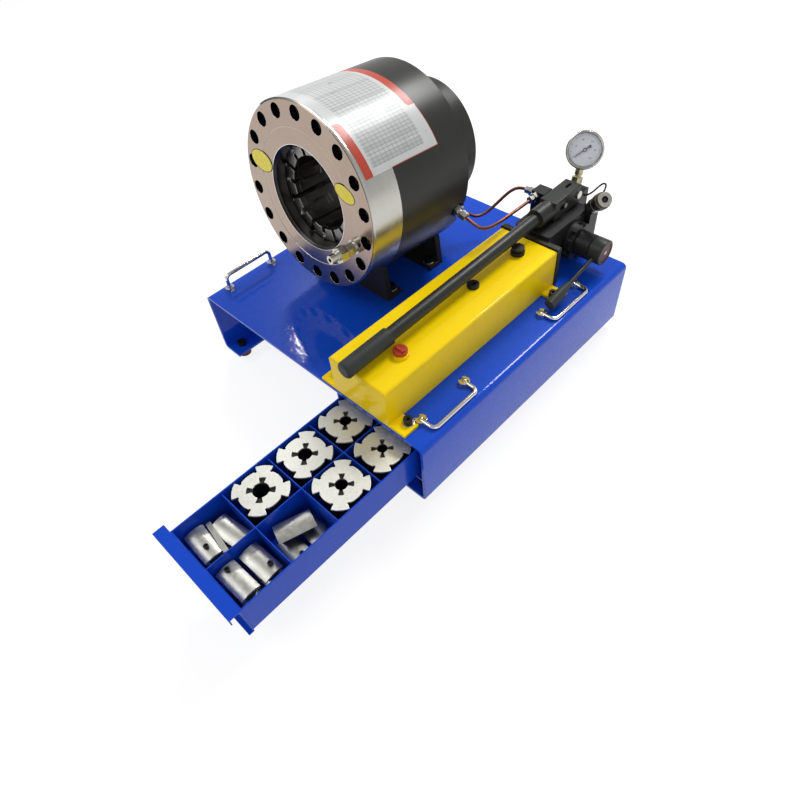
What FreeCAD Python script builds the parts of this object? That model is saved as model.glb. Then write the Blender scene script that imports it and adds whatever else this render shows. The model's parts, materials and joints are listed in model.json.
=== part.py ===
import FreeCAD, Part
import math
import os

V = FreeCAD.Vector
os.makedirs("parts", exist_ok=True)

# general gaps
gap = 0.3
fit = 0.05
hole_below = 10.0
hole_length = 30.0

# table, a bent sheet on four feet; x to the right, y to the back, z up from the floor
table_width = 550.0
table_depth = 556.0
table_height = 134.0
sheet = 5.0
bend = 10.0
flange_width = 46.0
foot_height = 18.0
foot_d = 30.0
foot_inset = 24.0
foot_taper = 2.0
foot_bore_z = 6.0
foot_bolt_d = 8.0
foot_bolt_head_d = 17.0
foot_bolt_head_h = 7.0
foot_bolt_socket = 6.0
foot_bolt_clear = 7.0
top_z = foot_height + table_height
front_y = -table_depth / 2
right_x = table_width / 2

# press head
head_r = 153.5
head_x = -right_x + 174.0
head_z = top_z + 192.0
head_tilt = 4.0
face_y = front_y + 150.0
ring_length = 62.0
lip_r = 82.0
lip_length = 22.0
cone_slope = math.tan(math.radians(30.0))
body_length = 160.0
cylinder_r = 122.0
rear_wall = 25.0
rear_open_r = 80.3
boss_r = 106.0
boss_length = 78.0
screw_circle = 136.0
screw_count = 18
counterbore_d = 23.0
screw_head_d = 21.0
screw_head_h = 16.0
screw_recess = 10.0
screw_length = 62.0
screw_d = 14.0
screw_socket = 12.0
step_r = 112.0
cover_circle = 93.0
cover_count = 10
cover_screw_d = 8.0
cover_head_d = 12.0
cover_head_h = 8.0
cover_socket = 6.0
cover_recess = 2.0
cover_thread = 17.0
head_edge = 3.0
step_depth = 0.6
lip_chamfer = 4.0

# piston and master shoes
piston_stroke = 30.0
through_r = 60.0
sleeve_r = 74.7
pocket_y = 93.0
pocket_floor = 146.0
piston_back = 185.0
sleeve_back = 309.0
seal_y = (118.0, 158.0)
seal_width = 5.0
seal_depth = 5.0
piston_edge = 3.0
shoe_inner = 62.0
shoe_seat = 66.0
shoe_front = 25.0
shoe_flat_y0 = 60.0
shoe_flat_y1 = 95.0
shoe_back = 129.0
shoe_side = 4.0
rib_r = 3.5
rib_s = 78.0

# legs under the head
leg_half = 107.0
leg_taper = 12.0
saddle_drop = 95.0
leg_thick = 12.0
leg_foot = 22.0
leg_foot_thick = 9.0
leg_bolt_d = 10.0
leg_bolt_head_d = 16.0
leg_bolt_head_h = 9.0
leg_bolt_length = 22.0
leg_bolt_socket = 8.0
leg_bolt_inset = 14.0
leg_nut_across = 16.0
nut_h = 7.0
front_leg_y = front_y + 205.0
rear_leg_y = front_y + 352.0

# tank and its end plate
tank_width = 118.0
tank_length = 420.0
tank_height = 74.0
tank_x = right_x - 128.5
tank_y = front_y + 1.5
tab_width = 33.0
tab_depth = 30.0
tab_thick = 5.0
tab_end_gap = 4.0
tab_bolt_inset = 14.0
tab_bolt_shift = 8.0
tab_bolt_d = 8.0
tab_bolt_head_d = 15.0
tab_bolt_head_h = 9.0
tab_bolt_length = 20.0
tab_bolt_socket = 6.0
tab_nut_across = 13.0
tank_edge_r = 4.0
tank_wall = 4.0
end_plate = 10.0
end_plate_r = 3.0
end_plate_side = 2.0
end_plate_lift = 1.0
end_plate_rise = 3.0
cap_x = right_x - 107.0
cap_y = front_y + 74.0
cap_boss_r = 14.0
cap_boss_h = 5.0
cap_r = 11.5
cap_h = 5.0
cap_key = 9.0
cap_key_half = 2.5
cap_key_z0 = 9.0
cap_key_z1 = 13.0
breather_x = right_x - 119.0
breather_y = front_y + 376.0
breather_r = 12.0
breather_h = 7.0
breather_neck_r = 8.0
breather_neck_h = 2.0
breather_top_r = 11.0
breather_top_h = 4.5
plug_x = right_x - 123.0
plug_y = front_y + 262.0
plug_r = 10.5
plug_h = 5.0
plug_socket = 9.0
plug_socket_z = 2.0

# pump, lever and valve
pump_x = right_x - 131.0
pump_y = tank_y + tank_length + end_plate
pump_half = 37.0
pump_length = 122.0
pump_edge_r = 7.0
plunger_boss_r = 17.0
plunger_boss_h = 22.0
plunger_boss_sink = 20.0
rear_block_left = 30.0
rear_block_right = 10.0
rear_block_length = 160.5
port_wide = 9.0
port_deep = 26.0
port_rise = 40.0
arm_start = 20.0
arm_front = 10.5
arm_back = 16.0
pivot_y = pump_y + 113.5
pivot_z = top_z + 105.0
pin_reach = 42.0
plunger_y = pivot_y - pin_reach
pin_r = 5.0
pin_over = 3.0
pin_head_r = 7.0
pin_head_t = 2.7
plunger_pin_r = 4.4
lug_w = 9.0
lug_y = 8.0
slot_r = 5.7
slot_shift = 8.0
droop = 1.1
head_block_w = 33.0
head_block_h = 34.0
head_block_wall = 6.0
head_block_front = 71.0
head_block_back = 7.0
tube_d = 22.0
tube_seat = 8.0
ferrule_r = 17.0
ferrule_length = 37.0
key_half = 2.5
key_y0 = 26.0
key_y1 = 9.0
grip_d = 28.0
grip_edge_r = 5.0
lever_reach = 562.0
grip_length = 92.0
plunger_d = 18.0
valve_y = pump_y + 75.5
valve_z = top_z + 42.0
valve_d = 46.0
collar_r = 34.0
collar_length = 17.0
scallop_count = 6
scallop_turn = 15.0
scallop_circle = 36.0
scallop_r = 9.0
valve_length = 28.0
valve_groove = 2.5
valve_groove_length = 3.0
valve_cap_length = 23.0
valve_cap_edge = 1.5
valve_face_x = 19.0
valve_face_r = 18.0
valve_screw = 11.0
valve_screw_h = 3.0
release_x = 11.0
release_r = 3.5
release_droop = 10.0
release_start = 4.0
release_length = 100.0
grip_start = 92.0
grip_neck_r = 4.6
grip_full_r = 9.0
grip_cone = 24.0
grip_straight = 34.0

# drawer
tray_x0 = right_x - 187.0
tray_x1 = right_x - 21.0
tray_wall = 2.0
tray_top = top_z - 22.0
tray_h = 64.0
tray_out = 318.0
cell_y = 84.3
cell_rows = 6
divider_t = 1.5
tray_y0 = front_y - tray_out
tray_len = cell_rows * cell_y + 2 * tray_wall - divider_t

# die cages, die rings and loose dies
cage_z = tray_h - tray_wall - 4.0
cage_t = 3.0
cage_r = 34.0
lug_r = 43.0
lug_half = 18.0
notch_r = 2.4
notch_turn = 3.0
cage_hole_r = 13.0
cage_hole_step = 1.6
cage_arm = 9.0
arm_half = 15.0
slit_half = 1.2
slit_z = 6.0
die_in = 16.0
die_out = 35.0
die_half = 22.0
die_plate = 3.0
plate_half = 27.0
die_plate_length = 58.0
die_body_length = 50.0
die_gap = 0.2

# carry handles
handle_span = 100.0
handle_rise = 27.0
handle_rod = 7.0
collar_d = 18.0
collar_h = 7.0
handle_pivot = 4.2
eye_r = handle_rod / 2 - 0.3
eye_width = handle_rod - 1.0
left_handle_x = -right_x + 22.0
right_handle_x = right_x - 40.0
handle_y = (front_y + 41.0, front_y + 346.0)


def box(x0, x1, y0, y1, z0, z1):
    return Part.makeBox(x1 - x0, y1 - y0, z1 - z0, V(x0, y0, z0))


def rod(start, direction, radius, length):
    return Part.makeCylinder(radius, length, start, direction)


def cone(start, direction, r0, r1, length):
    return Part.makeCone(r0, r1, length, start, direction)


def polygon(points):
    return Part.Face(Part.makePolygon(points + [points[0]]))


def hexagon(start, direction, across, length):
    # six-sided bar that starts at a point and runs along a direction
    side = direction.cross(V(0, 0, 1)) if abs(direction.z) < 0.9 else direction.cross(V(1, 0, 0))
    side.normalize()
    other = direction.cross(side)
    other.normalize()
    r = across / math.sqrt(3)
    corners = []
    for k in range(6):
        a = math.radians(60 * k + 30)
        corners.append(start + side * (r * math.cos(a)) + other * (r * math.sin(a)))
    unit = V(direction)
    unit.normalize()
    return polygon(corners).extrude(unit * length)


def turned(points):
    # revolves (radius, y) points about the axis of the head
    face = polygon([V(r, y, 0) for r, y in points])
    solid = face.revolve(V(0, 0, 0), V(0, 1, 0), 360)
    solid.translate(V(head_x, face_y, head_z))
    return solid


def radial(angle):
    a = math.radians(angle)
    return V(math.cos(a), 0, math.sin(a))


def head_point(radius, y, angle):
    return V(head_x, face_y + y, head_z) + radial(angle) * radius


def lean(shape):
    # the head is drawn level and then leans back on its legs
    shape.rotate(V(head_x, face_y, head_z), V(1, 0, 0), -head_tilt)
    return shape


def lean_way(way):
    a = math.radians(-head_tilt)
    return V(way.x, way.y * math.cos(a) - way.z * math.sin(a), way.y * math.sin(a) + way.z * math.cos(a))


def lean_point(point):
    origin = V(head_x, face_y, head_z)
    return origin + lean_way(point - origin)


def socket_screw(seat, direction, d, head_d, head_h, length, socket):
    # seat is the point under the head and direction runs from the seat towards the head
    back = V(direction) * -1
    screw = rod(seat, direction, head_d / 2, head_h)
    screw = screw.fuse(rod(seat, back, d / 2, length))
    top = seat + direction * head_h
    return screw.cut(hexagon(top - direction * (head_h * 0.5), direction, socket, head_h)).removeSplitter()


def nut(start, direction, d, across, height):
    bore = rod(start - direction, direction, d / 2 + gap, height + 2)
    return hexagon(start, direction, across, height).cut(bore)


def bent_rod(points, bend_r, radius):
    # round bar along straight runs joined by tangent arcs
    edges = []
    last = points[0]
    for k in range(1, len(points) - 1):
        a = points[k - 1] - points[k]
        b = points[k + 1] - points[k]
        a.normalize()
        b.normalize()
        half = math.acos(max(-1.0, min(1.0, a.dot(b)))) / 2
        run = bend_r / math.tan(half)
        start = points[k] + a * run
        end = points[k] + b * run
        middle = a + b
        middle.normalize()
        mid = points[k] + middle * (bend_r / math.sin(half) - bend_r)
        if (start - last).Length > 1e-6:
            edges.append(Part.makeLine(last, start))
        edges.append(Part.Arc(start, mid, end).toShape())
        last = end
    edges.append(Part.makeLine(last, points[-1]))
    path = Part.Wire(edges)
    direction = points[1] - points[0]
    ring = Part.Wire([Part.makeCircle(radius, points[0], direction)])
    return path.makePipeShell([ring], True, False)


def group(shapes):
    return Part.makeCompound(shapes)


nodes = {}

# table sheet with its bends and openings
outer = box(-right_x, right_x, front_y, -front_y, foot_height, top_z)
inner = box(-right_x + sheet, right_x - sheet, front_y - 1, -front_y + 1, foot_height + sheet, top_z - sheet)


def long_edges(solid):
    found = []
    for edge in solid.Edges:
        tangent = edge.tangentAt(edge.FirstParameter)
        if abs(tangent.y) > 0.99:
            found.append(edge)
    return found


outer = outer.makeFillet(bend, long_edges(outer))
inner = inner.makeFillet(bend - sheet, long_edges(inner))
table = outer.cut(inner)
table = table.cut(box(-right_x + flange_width, right_x - flange_width, front_y - 1, -front_y + 1,
                      foot_height - 1, foot_height + sheet + 1))

foot_points = []
for sx in (-1, 1):
    for sy in (-1, 1):
        foot_points.append((sx * (right_x - foot_inset), sy * (-front_y - foot_inset)))
feet = []
foot_bolts = []
for x, y in foot_points:
    table = table.cut(rod(V(x, y, foot_height - 1), V(0, 0, 1), foot_bolt_d / 2 + gap, sheet + 2))
    foot = cone(V(x, y, 0), V(0, 0, 1), foot_d / 2 - foot_taper, foot_d / 2, foot_height)
    foot = foot.cut(rod(V(x, y, foot_bore_z), V(0, 0, 1), foot_bolt_d / 2 + gap, foot_height))
    feet.append(foot)
    bolt = socket_screw(V(x, y, foot_height + sheet), V(0, 0, 1), foot_bolt_d, foot_bolt_head_d, foot_bolt_head_h,
                        sheet + foot_height - foot_bolt_clear, foot_bolt_socket)
    foot_bolts.append(bolt)

# tank with its corner tabs and filler bosses
tank_x0 = tank_x - tank_width / 2
tank_x1 = tank_x + tank_width / 2
tank_y1 = tank_y + tank_length
tank_top = top_z + tank_height
tank = box(tank_x0, tank_x1, tank_y, tank_y1, top_z, tank_top)
tank = tank.makeFillet(tank_edge_r, [e for e in tank.Edges if e.BoundBox.ZMin > top_z + 1])
tank = tank.cut(box(tank_x0 + tank_wall, tank_x1 - tank_wall, tank_y + tank_wall, tank_y1 + 1,
                    top_z + tank_wall, tank_top - tank_wall))
tab_points = []
for sx, x_side in ((-1, tank_x0), (1, tank_x1)):
    for y0 in (tank_y, tank_y1 - tab_depth - tab_end_gap):
        xa = min(x_side, x_side + sx * tab_width)
        tab = box(xa, xa + tab_width, y0, y0 + tab_depth, top_z, top_z + tab_thick)
        tank = tank.fuse(tab)
        shift_y = tab_bolt_shift * (1 if y0 < 0 else -1)
        tab_points.append((x_side + sx * (tab_width - tab_bolt_inset), y0 + tab_depth / 2 + shift_y))
tank_bolts = []
for x, y in tab_points:
    hole = rod(V(x, y, top_z - hole_below), V(0, 0, 1), tab_bolt_d / 2 + gap, hole_length)
    tank = tank.cut(hole)
    table = table.cut(hole)
    tank_bolts.append(socket_screw(V(x, y, top_z + tab_thick), V(0, 0, 1), tab_bolt_d, tab_bolt_head_d,
                                   tab_bolt_head_h, tab_bolt_length, tab_bolt_socket))
    tank_bolts.append(nut(V(x, y, top_z - sheet), V(0, 0, -1), tab_bolt_d, tab_nut_across, nut_h))
tank = tank.fuse(rod(V(cap_x, cap_y, tank_top), V(0, 0, 1), cap_boss_r, cap_boss_h))
tank = tank.removeSplitter()
cap = rod(V(cap_x, cap_y, tank_top + cap_boss_h), V(0, 0, 1), cap_r, cap_h)
cap = cap.fuse(box(cap_x - cap_key, cap_x + cap_key, cap_y - cap_key_half, cap_y + cap_key_half,
                   tank_top + cap_key_z0, tank_top + cap_key_z1))
breather = rod(V(breather_x, breather_y, tank_top), V(0, 0, 1), breather_r, breather_h)
neck_z = tank_top + breather_h
breather = breather.fuse(rod(V(breather_x, breather_y, neck_z), V(0, 0, 1), breather_neck_r, breather_neck_h))
breather = breather.fuse(rod(V(breather_x, breather_y, neck_z + breather_neck_h), V(0, 0, 1),
                             breather_top_r, breather_top_h))
plug = rod(V(plug_x, plug_y, tank_top), V(0, 0, 1), plug_r, plug_h)
plug = plug.cut(hexagon(V(plug_x, plug_y, tank_top + plug_socket_z), V(0, 0, 1), plug_socket, plug_h))
plate = box(tank_x0 - end_plate_side, tank_x1 + end_plate_side, tank_y1, tank_y1 + end_plate,
            top_z + end_plate_lift, tank_top + end_plate_rise)
plate = plate.makeFillet(end_plate_r, [e for e in plate.Edges if abs(e.tangentAt(e.FirstParameter).y) > 0.99])

# pump body behind the end plate
body_z0 = top_z + 12.0
body_z1 = top_z + 84.0
pump = box(pump_x - pump_half, pump_x + pump_half, pump_y, pump_y + pump_length, body_z0, body_z1)
pump = pump.makeFillet(pump_edge_r, [e for e in pump.Edges if abs(e.tangentAt(e.FirstParameter).z) > 0.99])
boss_base = V(pump_x, plunger_y, body_z1 - plunger_boss_sink)
pump = pump.fuse(rod(boss_base, V(0, 0, 1), plunger_boss_r, plunger_boss_h))
rear_block_y0 = pivot_y + head_block_back + 1.0
rear_block_y1 = pump_y + rear_block_length
rear_block_top = top_z + 94.0
pump = pump.fuse(box(pump_x - rear_block_left, pump_x + rear_block_right, rear_block_y0, rear_block_y1,
                     body_z0 + 6, rear_block_top))
port_x = right_x - 178.0
port_y = pump_y + 74.5
port_z = top_z + 97.0
pump = pump.fuse(box(port_x - port_wide, pump_x - rear_block_left, port_y, port_y + port_deep,
                     body_z0 + port_rise, port_z + port_wide))
coupler_base = V(right_x - 91.0, pump_y + 120.5, body_z1)
pump = pump.fuse(box(pump_x + arm_start, coupler_base.x + port_wide, coupler_base.y - arm_front,
                     coupler_base.y + arm_back, body_z0 + 10, coupler_base.z - 6))
lug = box(pump_x - lug_w, pump_x + lug_w, pivot_y - lug_y, pivot_y + lug_y, body_z1 - 5, pivot_z)
lug = lug.fuse(rod(V(pump_x - lug_w, pivot_y, pivot_z), V(1, 0, 0), lug_y, 2 * lug_w))
pump = pump.fuse(lug)
pump = pump.cut(rod(V(pump_x - lug_w - 1, pivot_y, pivot_z), V(1, 0, 0), pin_r + fit, 2 * lug_w + 2))
pump = pump.cut(rod(V(pump_x, plunger_y, body_z0 + 12), V(0, 0, 1), plunger_d / 2 + fit, 120.0))
pump = pump.removeSplitter()

# lever head, tube and grip are drawn level and then turned by the droop about the pivot
lever_front_y = pivot_y - lever_reach
block_y0 = pivot_y - head_block_front
block_y1 = pivot_y + head_block_back
hw = head_block_w / 2
block_z0 = pivot_z - head_block_h / 2
block_z1 = pivot_z + head_block_h / 2
block = box(pump_x - hw, pump_x + hw, block_y0, block_y1, block_z0, block_z1)
block = block.makeFillet(2.0, [e for e in block.Edges if e.BoundBox.ZMin > pivot_z + 1])
block = block.cut(box(pump_x - hw + head_block_wall, pump_x + hw - head_block_wall, block_y0 + 12, block_y1 + 1,
                      pivot_z - head_block_h, block_z1 - 8.0))
block = block.fuse(rod(V(pump_x, block_y0 + 2, pivot_z), V(0, -1, 0), ferrule_r, ferrule_length))
block = block.cut(rod(V(pump_x, block_y0 + tube_seat, pivot_z), V(0, -1, 0), tube_d / 2 + gap, 60.0))
block = block.cut(box(pump_x - key_half, pump_x + key_half, block_y1 - key_y0, block_y1 - key_y1,
                      pivot_z, pivot_z + 40))
block = block.cut(rod(V(pump_x - 40, pivot_y, pivot_z), V(1, 0, 0), pin_r + fit, 80.0))
slot = box(pump_x - 40, pump_x + 40, plunger_y - slot_shift, plunger_y, pivot_z - slot_r, pivot_z + slot_r)
slot = slot.fuse(rod(V(pump_x - 40, plunger_y, pivot_z), V(1, 0, 0), slot_r, 80.0))
slot = slot.fuse(rod(V(pump_x - 40, plunger_y - slot_shift, pivot_z), V(1, 0, 0), slot_r, 80.0))
block = block.cut(slot).removeSplitter()
tube_start = V(pump_x, lever_front_y + tube_seat, pivot_z)
tube = rod(tube_start, V(0, 1, 0), tube_d / 2, block_y0 - lever_front_y)
grip = rod(V(pump_x, lever_front_y, pivot_z), V(0, 1, 0), grip_d / 2, grip_length)
grip = grip.makeFillet(grip_edge_r, [e for e in grip.Edges if e.BoundBox.YMax < lever_front_y + 1])
grip = grip.cut(rod(tube_start, V(0, 1, 0), tube_d / 2 + fit, grip_length))
for piece in (block, tube, grip):
    piece.rotate(V(pump_x, pivot_y, pivot_z), V(1, 0, 0), droop)
pin_z = pivot_z - pin_reach * math.tan(math.radians(droop))
pin_length = head_block_w + 2 * pin_over
pin_start = V(pump_x - hw - pin_over, pivot_y, pivot_z)
pivot_pin = rod(pin_start, V(1, 0, 0), pin_r, pin_length)
pivot_pin = pivot_pin.fuse(rod(pin_start, V(1, 0, 0), pin_head_r, pin_head_t))
pivot_pin = pivot_pin.fuse(rod(V(pump_x + hw + gap, pivot_y, pivot_z), V(1, 0, 0), pin_head_r, pin_head_t))
plunger = rod(V(pump_x, plunger_y, body_z0 + 16), V(0, 0, 1), plunger_d / 2, pin_z - 8 - body_z0 - 16)
plunger = plunger.fuse(box(pump_x - 8.5, pump_x + 8.5, plunger_y - 7, plunger_y + 7, pin_z - 8, pin_z + 6))
plunger = plunger.fuse(rod(V(pump_x - hw - pin_over, plunger_y, pin_z), V(1, 0, 0), plunger_pin_r,
                           pin_length))

# release valve on the right of the pump
valve_x0 = pump_x + pump_half
collar = rod(V(valve_x0, valve_y, valve_z), V(1, 0, 0), collar_r, collar_length)
for k in range(scallop_count):
    a = math.radians(360 / scallop_count * k + scallop_turn)
    centre = V(valve_x0 + 7.0, valve_y + scallop_circle * math.cos(a), valve_z + scallop_circle * math.sin(a))
    collar = collar.cut(rod(centre, V(1, 0, 0), scallop_r, 20.0))
groove_x = valve_x0 + collar_length + valve_length
valve = rod(V(valve_x0 + collar_length, valve_y, valve_z), V(1, 0, 0), valve_d / 2, valve_length)
valve = valve.fuse(rod(V(groove_x, valve_y, valve_z), V(1, 0, 0), valve_d / 2 - valve_groove, valve_groove_length))
cap_x0 = groove_x + valve_groove_length
valve_face = V(cap_x0 + valve_face_x, valve_y, valve_z)
valve_cap = rod(V(cap_x0, valve_y, valve_z), V(1, 0, 0), valve_d / 2, valve_cap_length)
outer_edges = [e for e in valve_cap.Edges if e.BoundBox.XMin > cap_x0 + 20]
valve_cap = valve_cap.makeFillet(valve_cap_edge, outer_edges)
valve_cap = valve_cap.cut(rod(valve_face, V(1, 0, 0), valve_face_r, 10.0))
valve_cap = valve_cap.fuse(hexagon(valve_face, V(1, 0, 0), valve_screw, valve_screw_h))
release_tilt = math.radians(release_droop)
rod_dir = V(0, -math.cos(release_tilt), -math.sin(release_tilt))
rod_start = V(cap_x0 + release_x, valve_y, valve_z)
valve_cap = valve_cap.cut(rod(rod_start, rod_dir, release_r + gap, 60.0)).removeSplitter()
release_rod = rod(rod_start + rod_dir * release_start, rod_dir, release_r, release_length)
release_grip = cone(rod_start + rod_dir * grip_start, rod_dir, grip_neck_r, grip_full_r, grip_cone)
release_grip = release_grip.fuse(rod(rod_start + rod_dir * (grip_start + grip_cone), rod_dir, grip_full_r,
                                     grip_straight))
release_grip = release_grip.cut(rod(rod_start, rod_dir, release_r + fit, release_start + release_length))

# gauge on its leaning stem
stem_dir = V(-0.05, 0.33, 0.94)
stem_dir.normalize()
stem_base = V(pump_x - 10.0, pump_y + 144.5, rear_block_top)
stem_boss = 5.0
pump = pump.fuse(rod(stem_base - stem_dir * 8, stem_dir, 10.0, 8.0 + stem_boss))
stem_base = stem_base + stem_dir * stem_boss
dial_dir = V(0.42, -0.86, 0.29)
dial_dir = dial_dir - stem_dir * dial_dir.dot(stem_dir)
dial_dir.normalize()
case_r = 33.0
case_depth = 26.0
stem_length = 62.0
gauge_centre = stem_base + stem_dir * stem_length
adapter = hexagon(stem_base, stem_dir, 19.0, 15.0)
adapter = adapter.fuse(rod(stem_base + stem_dir * 15, stem_dir, 6.0, 4.0))
adapter = adapter.fuse(hexagon(stem_base + stem_dir * 19, stem_dir, 14.0, 11.0))
adapter = adapter.fuse(rod(stem_base + stem_dir * 30, stem_dir, 5.5, 6.0))
case_back = gauge_centre - dial_dir * (case_depth / 2)
adapter = adapter.cut(rod(case_back - dial_dir * 5, dial_dir, case_r - 2 + gap, case_depth + 10))
adapter = adapter.cut(rod(case_back + dial_dir * (case_depth - 7 - gap), dial_dir, case_r + gap, 20.0))
case = rod(case_back, dial_dir, case_r - 2, case_depth)
case = case.fuse(rod(case_back + dial_dir * (case_depth - 7), dial_dir, case_r, 7.0))
case = case.cut(rod(case_back + dial_dir * (case_depth - 10), dial_dir, case_r - 5, 20.0)).removeSplitter()
dial = rod(case_back + dial_dir * (case_depth - 10), dial_dir, case_r - 5 - gap, 1.0)
hub = case_back + dial_dir * (case_depth - 9)
dial = dial.fuse(rod(hub, dial_dir, 1.2, 1.0))
# the needle rests at the scale's low end, below the middle on the left
needle_low = math.radians(45.0)
dial_left = dial_dir.cross(stem_dir)
dial_left.normalize()
needle_dir = dial_left * math.cos(needle_low) - stem_dir * math.sin(needle_low)
needle = rod(hub + dial_dir * 1.0, dial_dir, 3.2, 2.0)
needle_side = needle_dir.cross(dial_dir)
needle_side.normalize()
needle_z = hub + dial_dir * 1.2
blade_tail = needle_z - needle_dir * 9
blade_tip = needle_z + needle_dir * 22
blade = polygon([blade_tail - needle_side * 1.1, blade_tail + needle_side * 1.1,
                 blade_tip + needle_side * 0.5, blade_tip - needle_side * 0.5])
needle = needle.fuse(blade.extrude(dial_dir * 1.0))
needle = needle.fuse(rod(needle_z - needle_dir * 10, dial_dir, 2.4, 1.0)).removeSplitter()

# quick coupler pointing up to the right
coupler_dir = V(0.6, -0.4, 0.69)
coupler_dir.normalize()
pump = pump.fuse(rod(coupler_base - coupler_dir * 13, coupler_dir, 9.5, 17.0)).removeSplitter()
coupler_base = coupler_base + coupler_dir * 4.0
coupler = hexagon(coupler_base, coupler_dir, 20.0, 10.0)
coupler_r = 12.5
coupler = coupler.fuse(rod(coupler_base + coupler_dir * 10, coupler_dir, coupler_r, 16.0))
coupler = coupler.fuse(rod(coupler_base + coupler_dir * 26, coupler_dir, 10.0, 31.0))
coupler = coupler.fuse(rod(coupler_base + coupler_dir * 51, coupler_dir, coupler_r, 6.0))
coupler = coupler.cut(rod(coupler_base + coupler_dir * 30, coupler_dir, 6.0, 40.0)).removeSplitter()
sleeve = rod(coupler_base + coupler_dir * 33, coupler_dir, 14.5, 17.0)
sleeve = sleeve.cut(rod(coupler_base + coupler_dir * 30, coupler_dir, 10.0 + fit, 30.0))

# pressure pipes between the head and the pump
cylinder_back = ring_length + body_length
body = turned([(cylinder_r, ring_length), (head_r, ring_length), (head_r, cylinder_back - head_edge),
               (head_r - head_edge, cylinder_back), (rear_open_r, cylinder_back),
               (rear_open_r, cylinder_back - rear_wall), (cylinder_r, cylinder_back - rear_wall)])
side_port_angle = -18.0
side_port_y = 201.0
rear_port_angle = -45.0
rear_port_r = 125.0
port_seat = 4.0
pipe_r = 2.9
port_fittings = []
side_out = radial(side_port_angle)
back_out = V(0, 1, 0)
head_ports = ((head_point(head_r - port_seat, side_port_y, side_port_angle), side_out),
              (head_point(rear_port_r, cylinder_back, rear_port_angle), back_out))
pipe_starts = []
for base, out in head_ports:
    body = body.cut(rod(base - out * 14, out, 6.0 + gap, 40.0))
    body = body.cut(rod(base, out, 12.5, 30.0))
    fitting = rod(base - out * 12, out, 6.0, 14.0)
    fitting = fitting.fuse(hexagon(base, out, 19.0, 11.0))
    fitting = fitting.fuse(rod(base + out * 11, out, 6.0, 4.0))
    fitting = fitting.fuse(hexagon(base + out * 15, out, 14.0, 12.0))
    fitting = fitting.cut(rod(base + out * 19, out, pipe_r + 0.1, 30.0))
    port_fittings.append(lean(fitting))
    pipe_starts.append(lean_point(base + out * 19))
pump_ports = ((V(port_x, port_y, port_z), V(0, -1, 0)), (V(port_x - 9.0, port_y + 9.0, port_z), V(-1, 0, 0)))
pipe_ends = []
for base, out in pump_ports:
    fitting = hexagon(base, out, 15.0, 8.0)
    fitting = fitting.fuse(rod(base + out * 8, out, 5.0, 2.0))
    fitting = fitting.fuse(hexagon(base + out * 10, out, 12.0, 8.0))
    fitting = fitting.cut(rod(base + out * 11, out, pipe_r + 0.1, 30.0))
    port_fittings.append(fitting)
    pipe_ends.append(base + out * 11)
pipe_bend = 18.0
feed_route = [pipe_starts[0], pipe_starts[0] + lean_way(side_out) * 36, V(port_x - 8, port_y - 98, port_z - 4),
              V(port_x, port_y - 50, port_z), pipe_ends[0]]
return_route = [pipe_starts[1], pipe_starts[1] + lean_way(back_out) * 32,
                V(head_x + 101, port_y - 70, port_z - 68), V(port_x - 48, port_y + 9.0, port_z), pipe_ends[1]]
feed_pipe = bent_rod(feed_route, pipe_bend, pipe_r)
return_pipe = bent_rod(return_route, pipe_bend, pipe_r)

# press head parts
ring = turned([(lip_r + lip_chamfer, step_depth), (step_r, step_depth), (step_r, 0), (head_r - head_edge, 0),
               (head_r, head_edge), (head_r, ring_length),
               (lip_r + (ring_length - lip_length) * cone_slope, ring_length), (lip_r, lip_length),
               (lip_r, lip_chamfer + step_depth)])
ring_screws = []
for k in range(screw_count):
    angle = 90 - 360.0 / screw_count * k
    mouth = head_point(screw_circle, -1, angle)
    seat = head_point(screw_circle, screw_recess + screw_head_h, angle)
    ring = ring.cut(rod(mouth, V(0, 1, 0), counterbore_d / 2, 1 + screw_recess + screw_head_h))
    ring = ring.cut(rod(seat, V(0, 1, 0), screw_d / 2 + gap, ring_length))
    thread = head_point(screw_circle, ring_length - 1, angle)
    body = body.cut(rod(thread, V(0, 1, 0), screw_d / 2 + gap, 29.0))
    ring_screws.append(socket_screw(seat, V(0, -1, 0), screw_d, screw_head_d, screw_head_h, screw_length,
                                    screw_socket))

fit_angle = -17.5
fit_r = 118.0
face_out = V(0, -1, 0)
fit_base = head_point(fit_r, 0, fit_angle)
face_fitting = rod(fit_base, face_out, 12.0, 7.0)
face_fitting = face_fitting.fuse(rod(fit_base + face_out * 7, face_out, 8.0, 4.0))
face_fitting = face_fitting.fuse(hexagon(fit_base + face_out * 11, face_out, 19.0, 12.0))
face_fitting = face_fitting.fuse(rod(fit_base + face_out * 23, face_out, 8.0, 3.0))
face_fitting = face_fitting.fuse(hexagon(fit_base + face_out * 26, face_out, 23.0, 14.0))
face_fitting = face_fitting.fuse(rod(fit_base + face_out * 40, face_out, 8.5, 4.0))
face_fitting = face_fitting.fuse(rod(fit_base + face_out * 44, face_out, 7.0, 12.0))
face_fitting = face_fitting.cut(rod(fit_base + face_out * 30, face_out, 3.5, 40.0)).removeSplitter()

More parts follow.
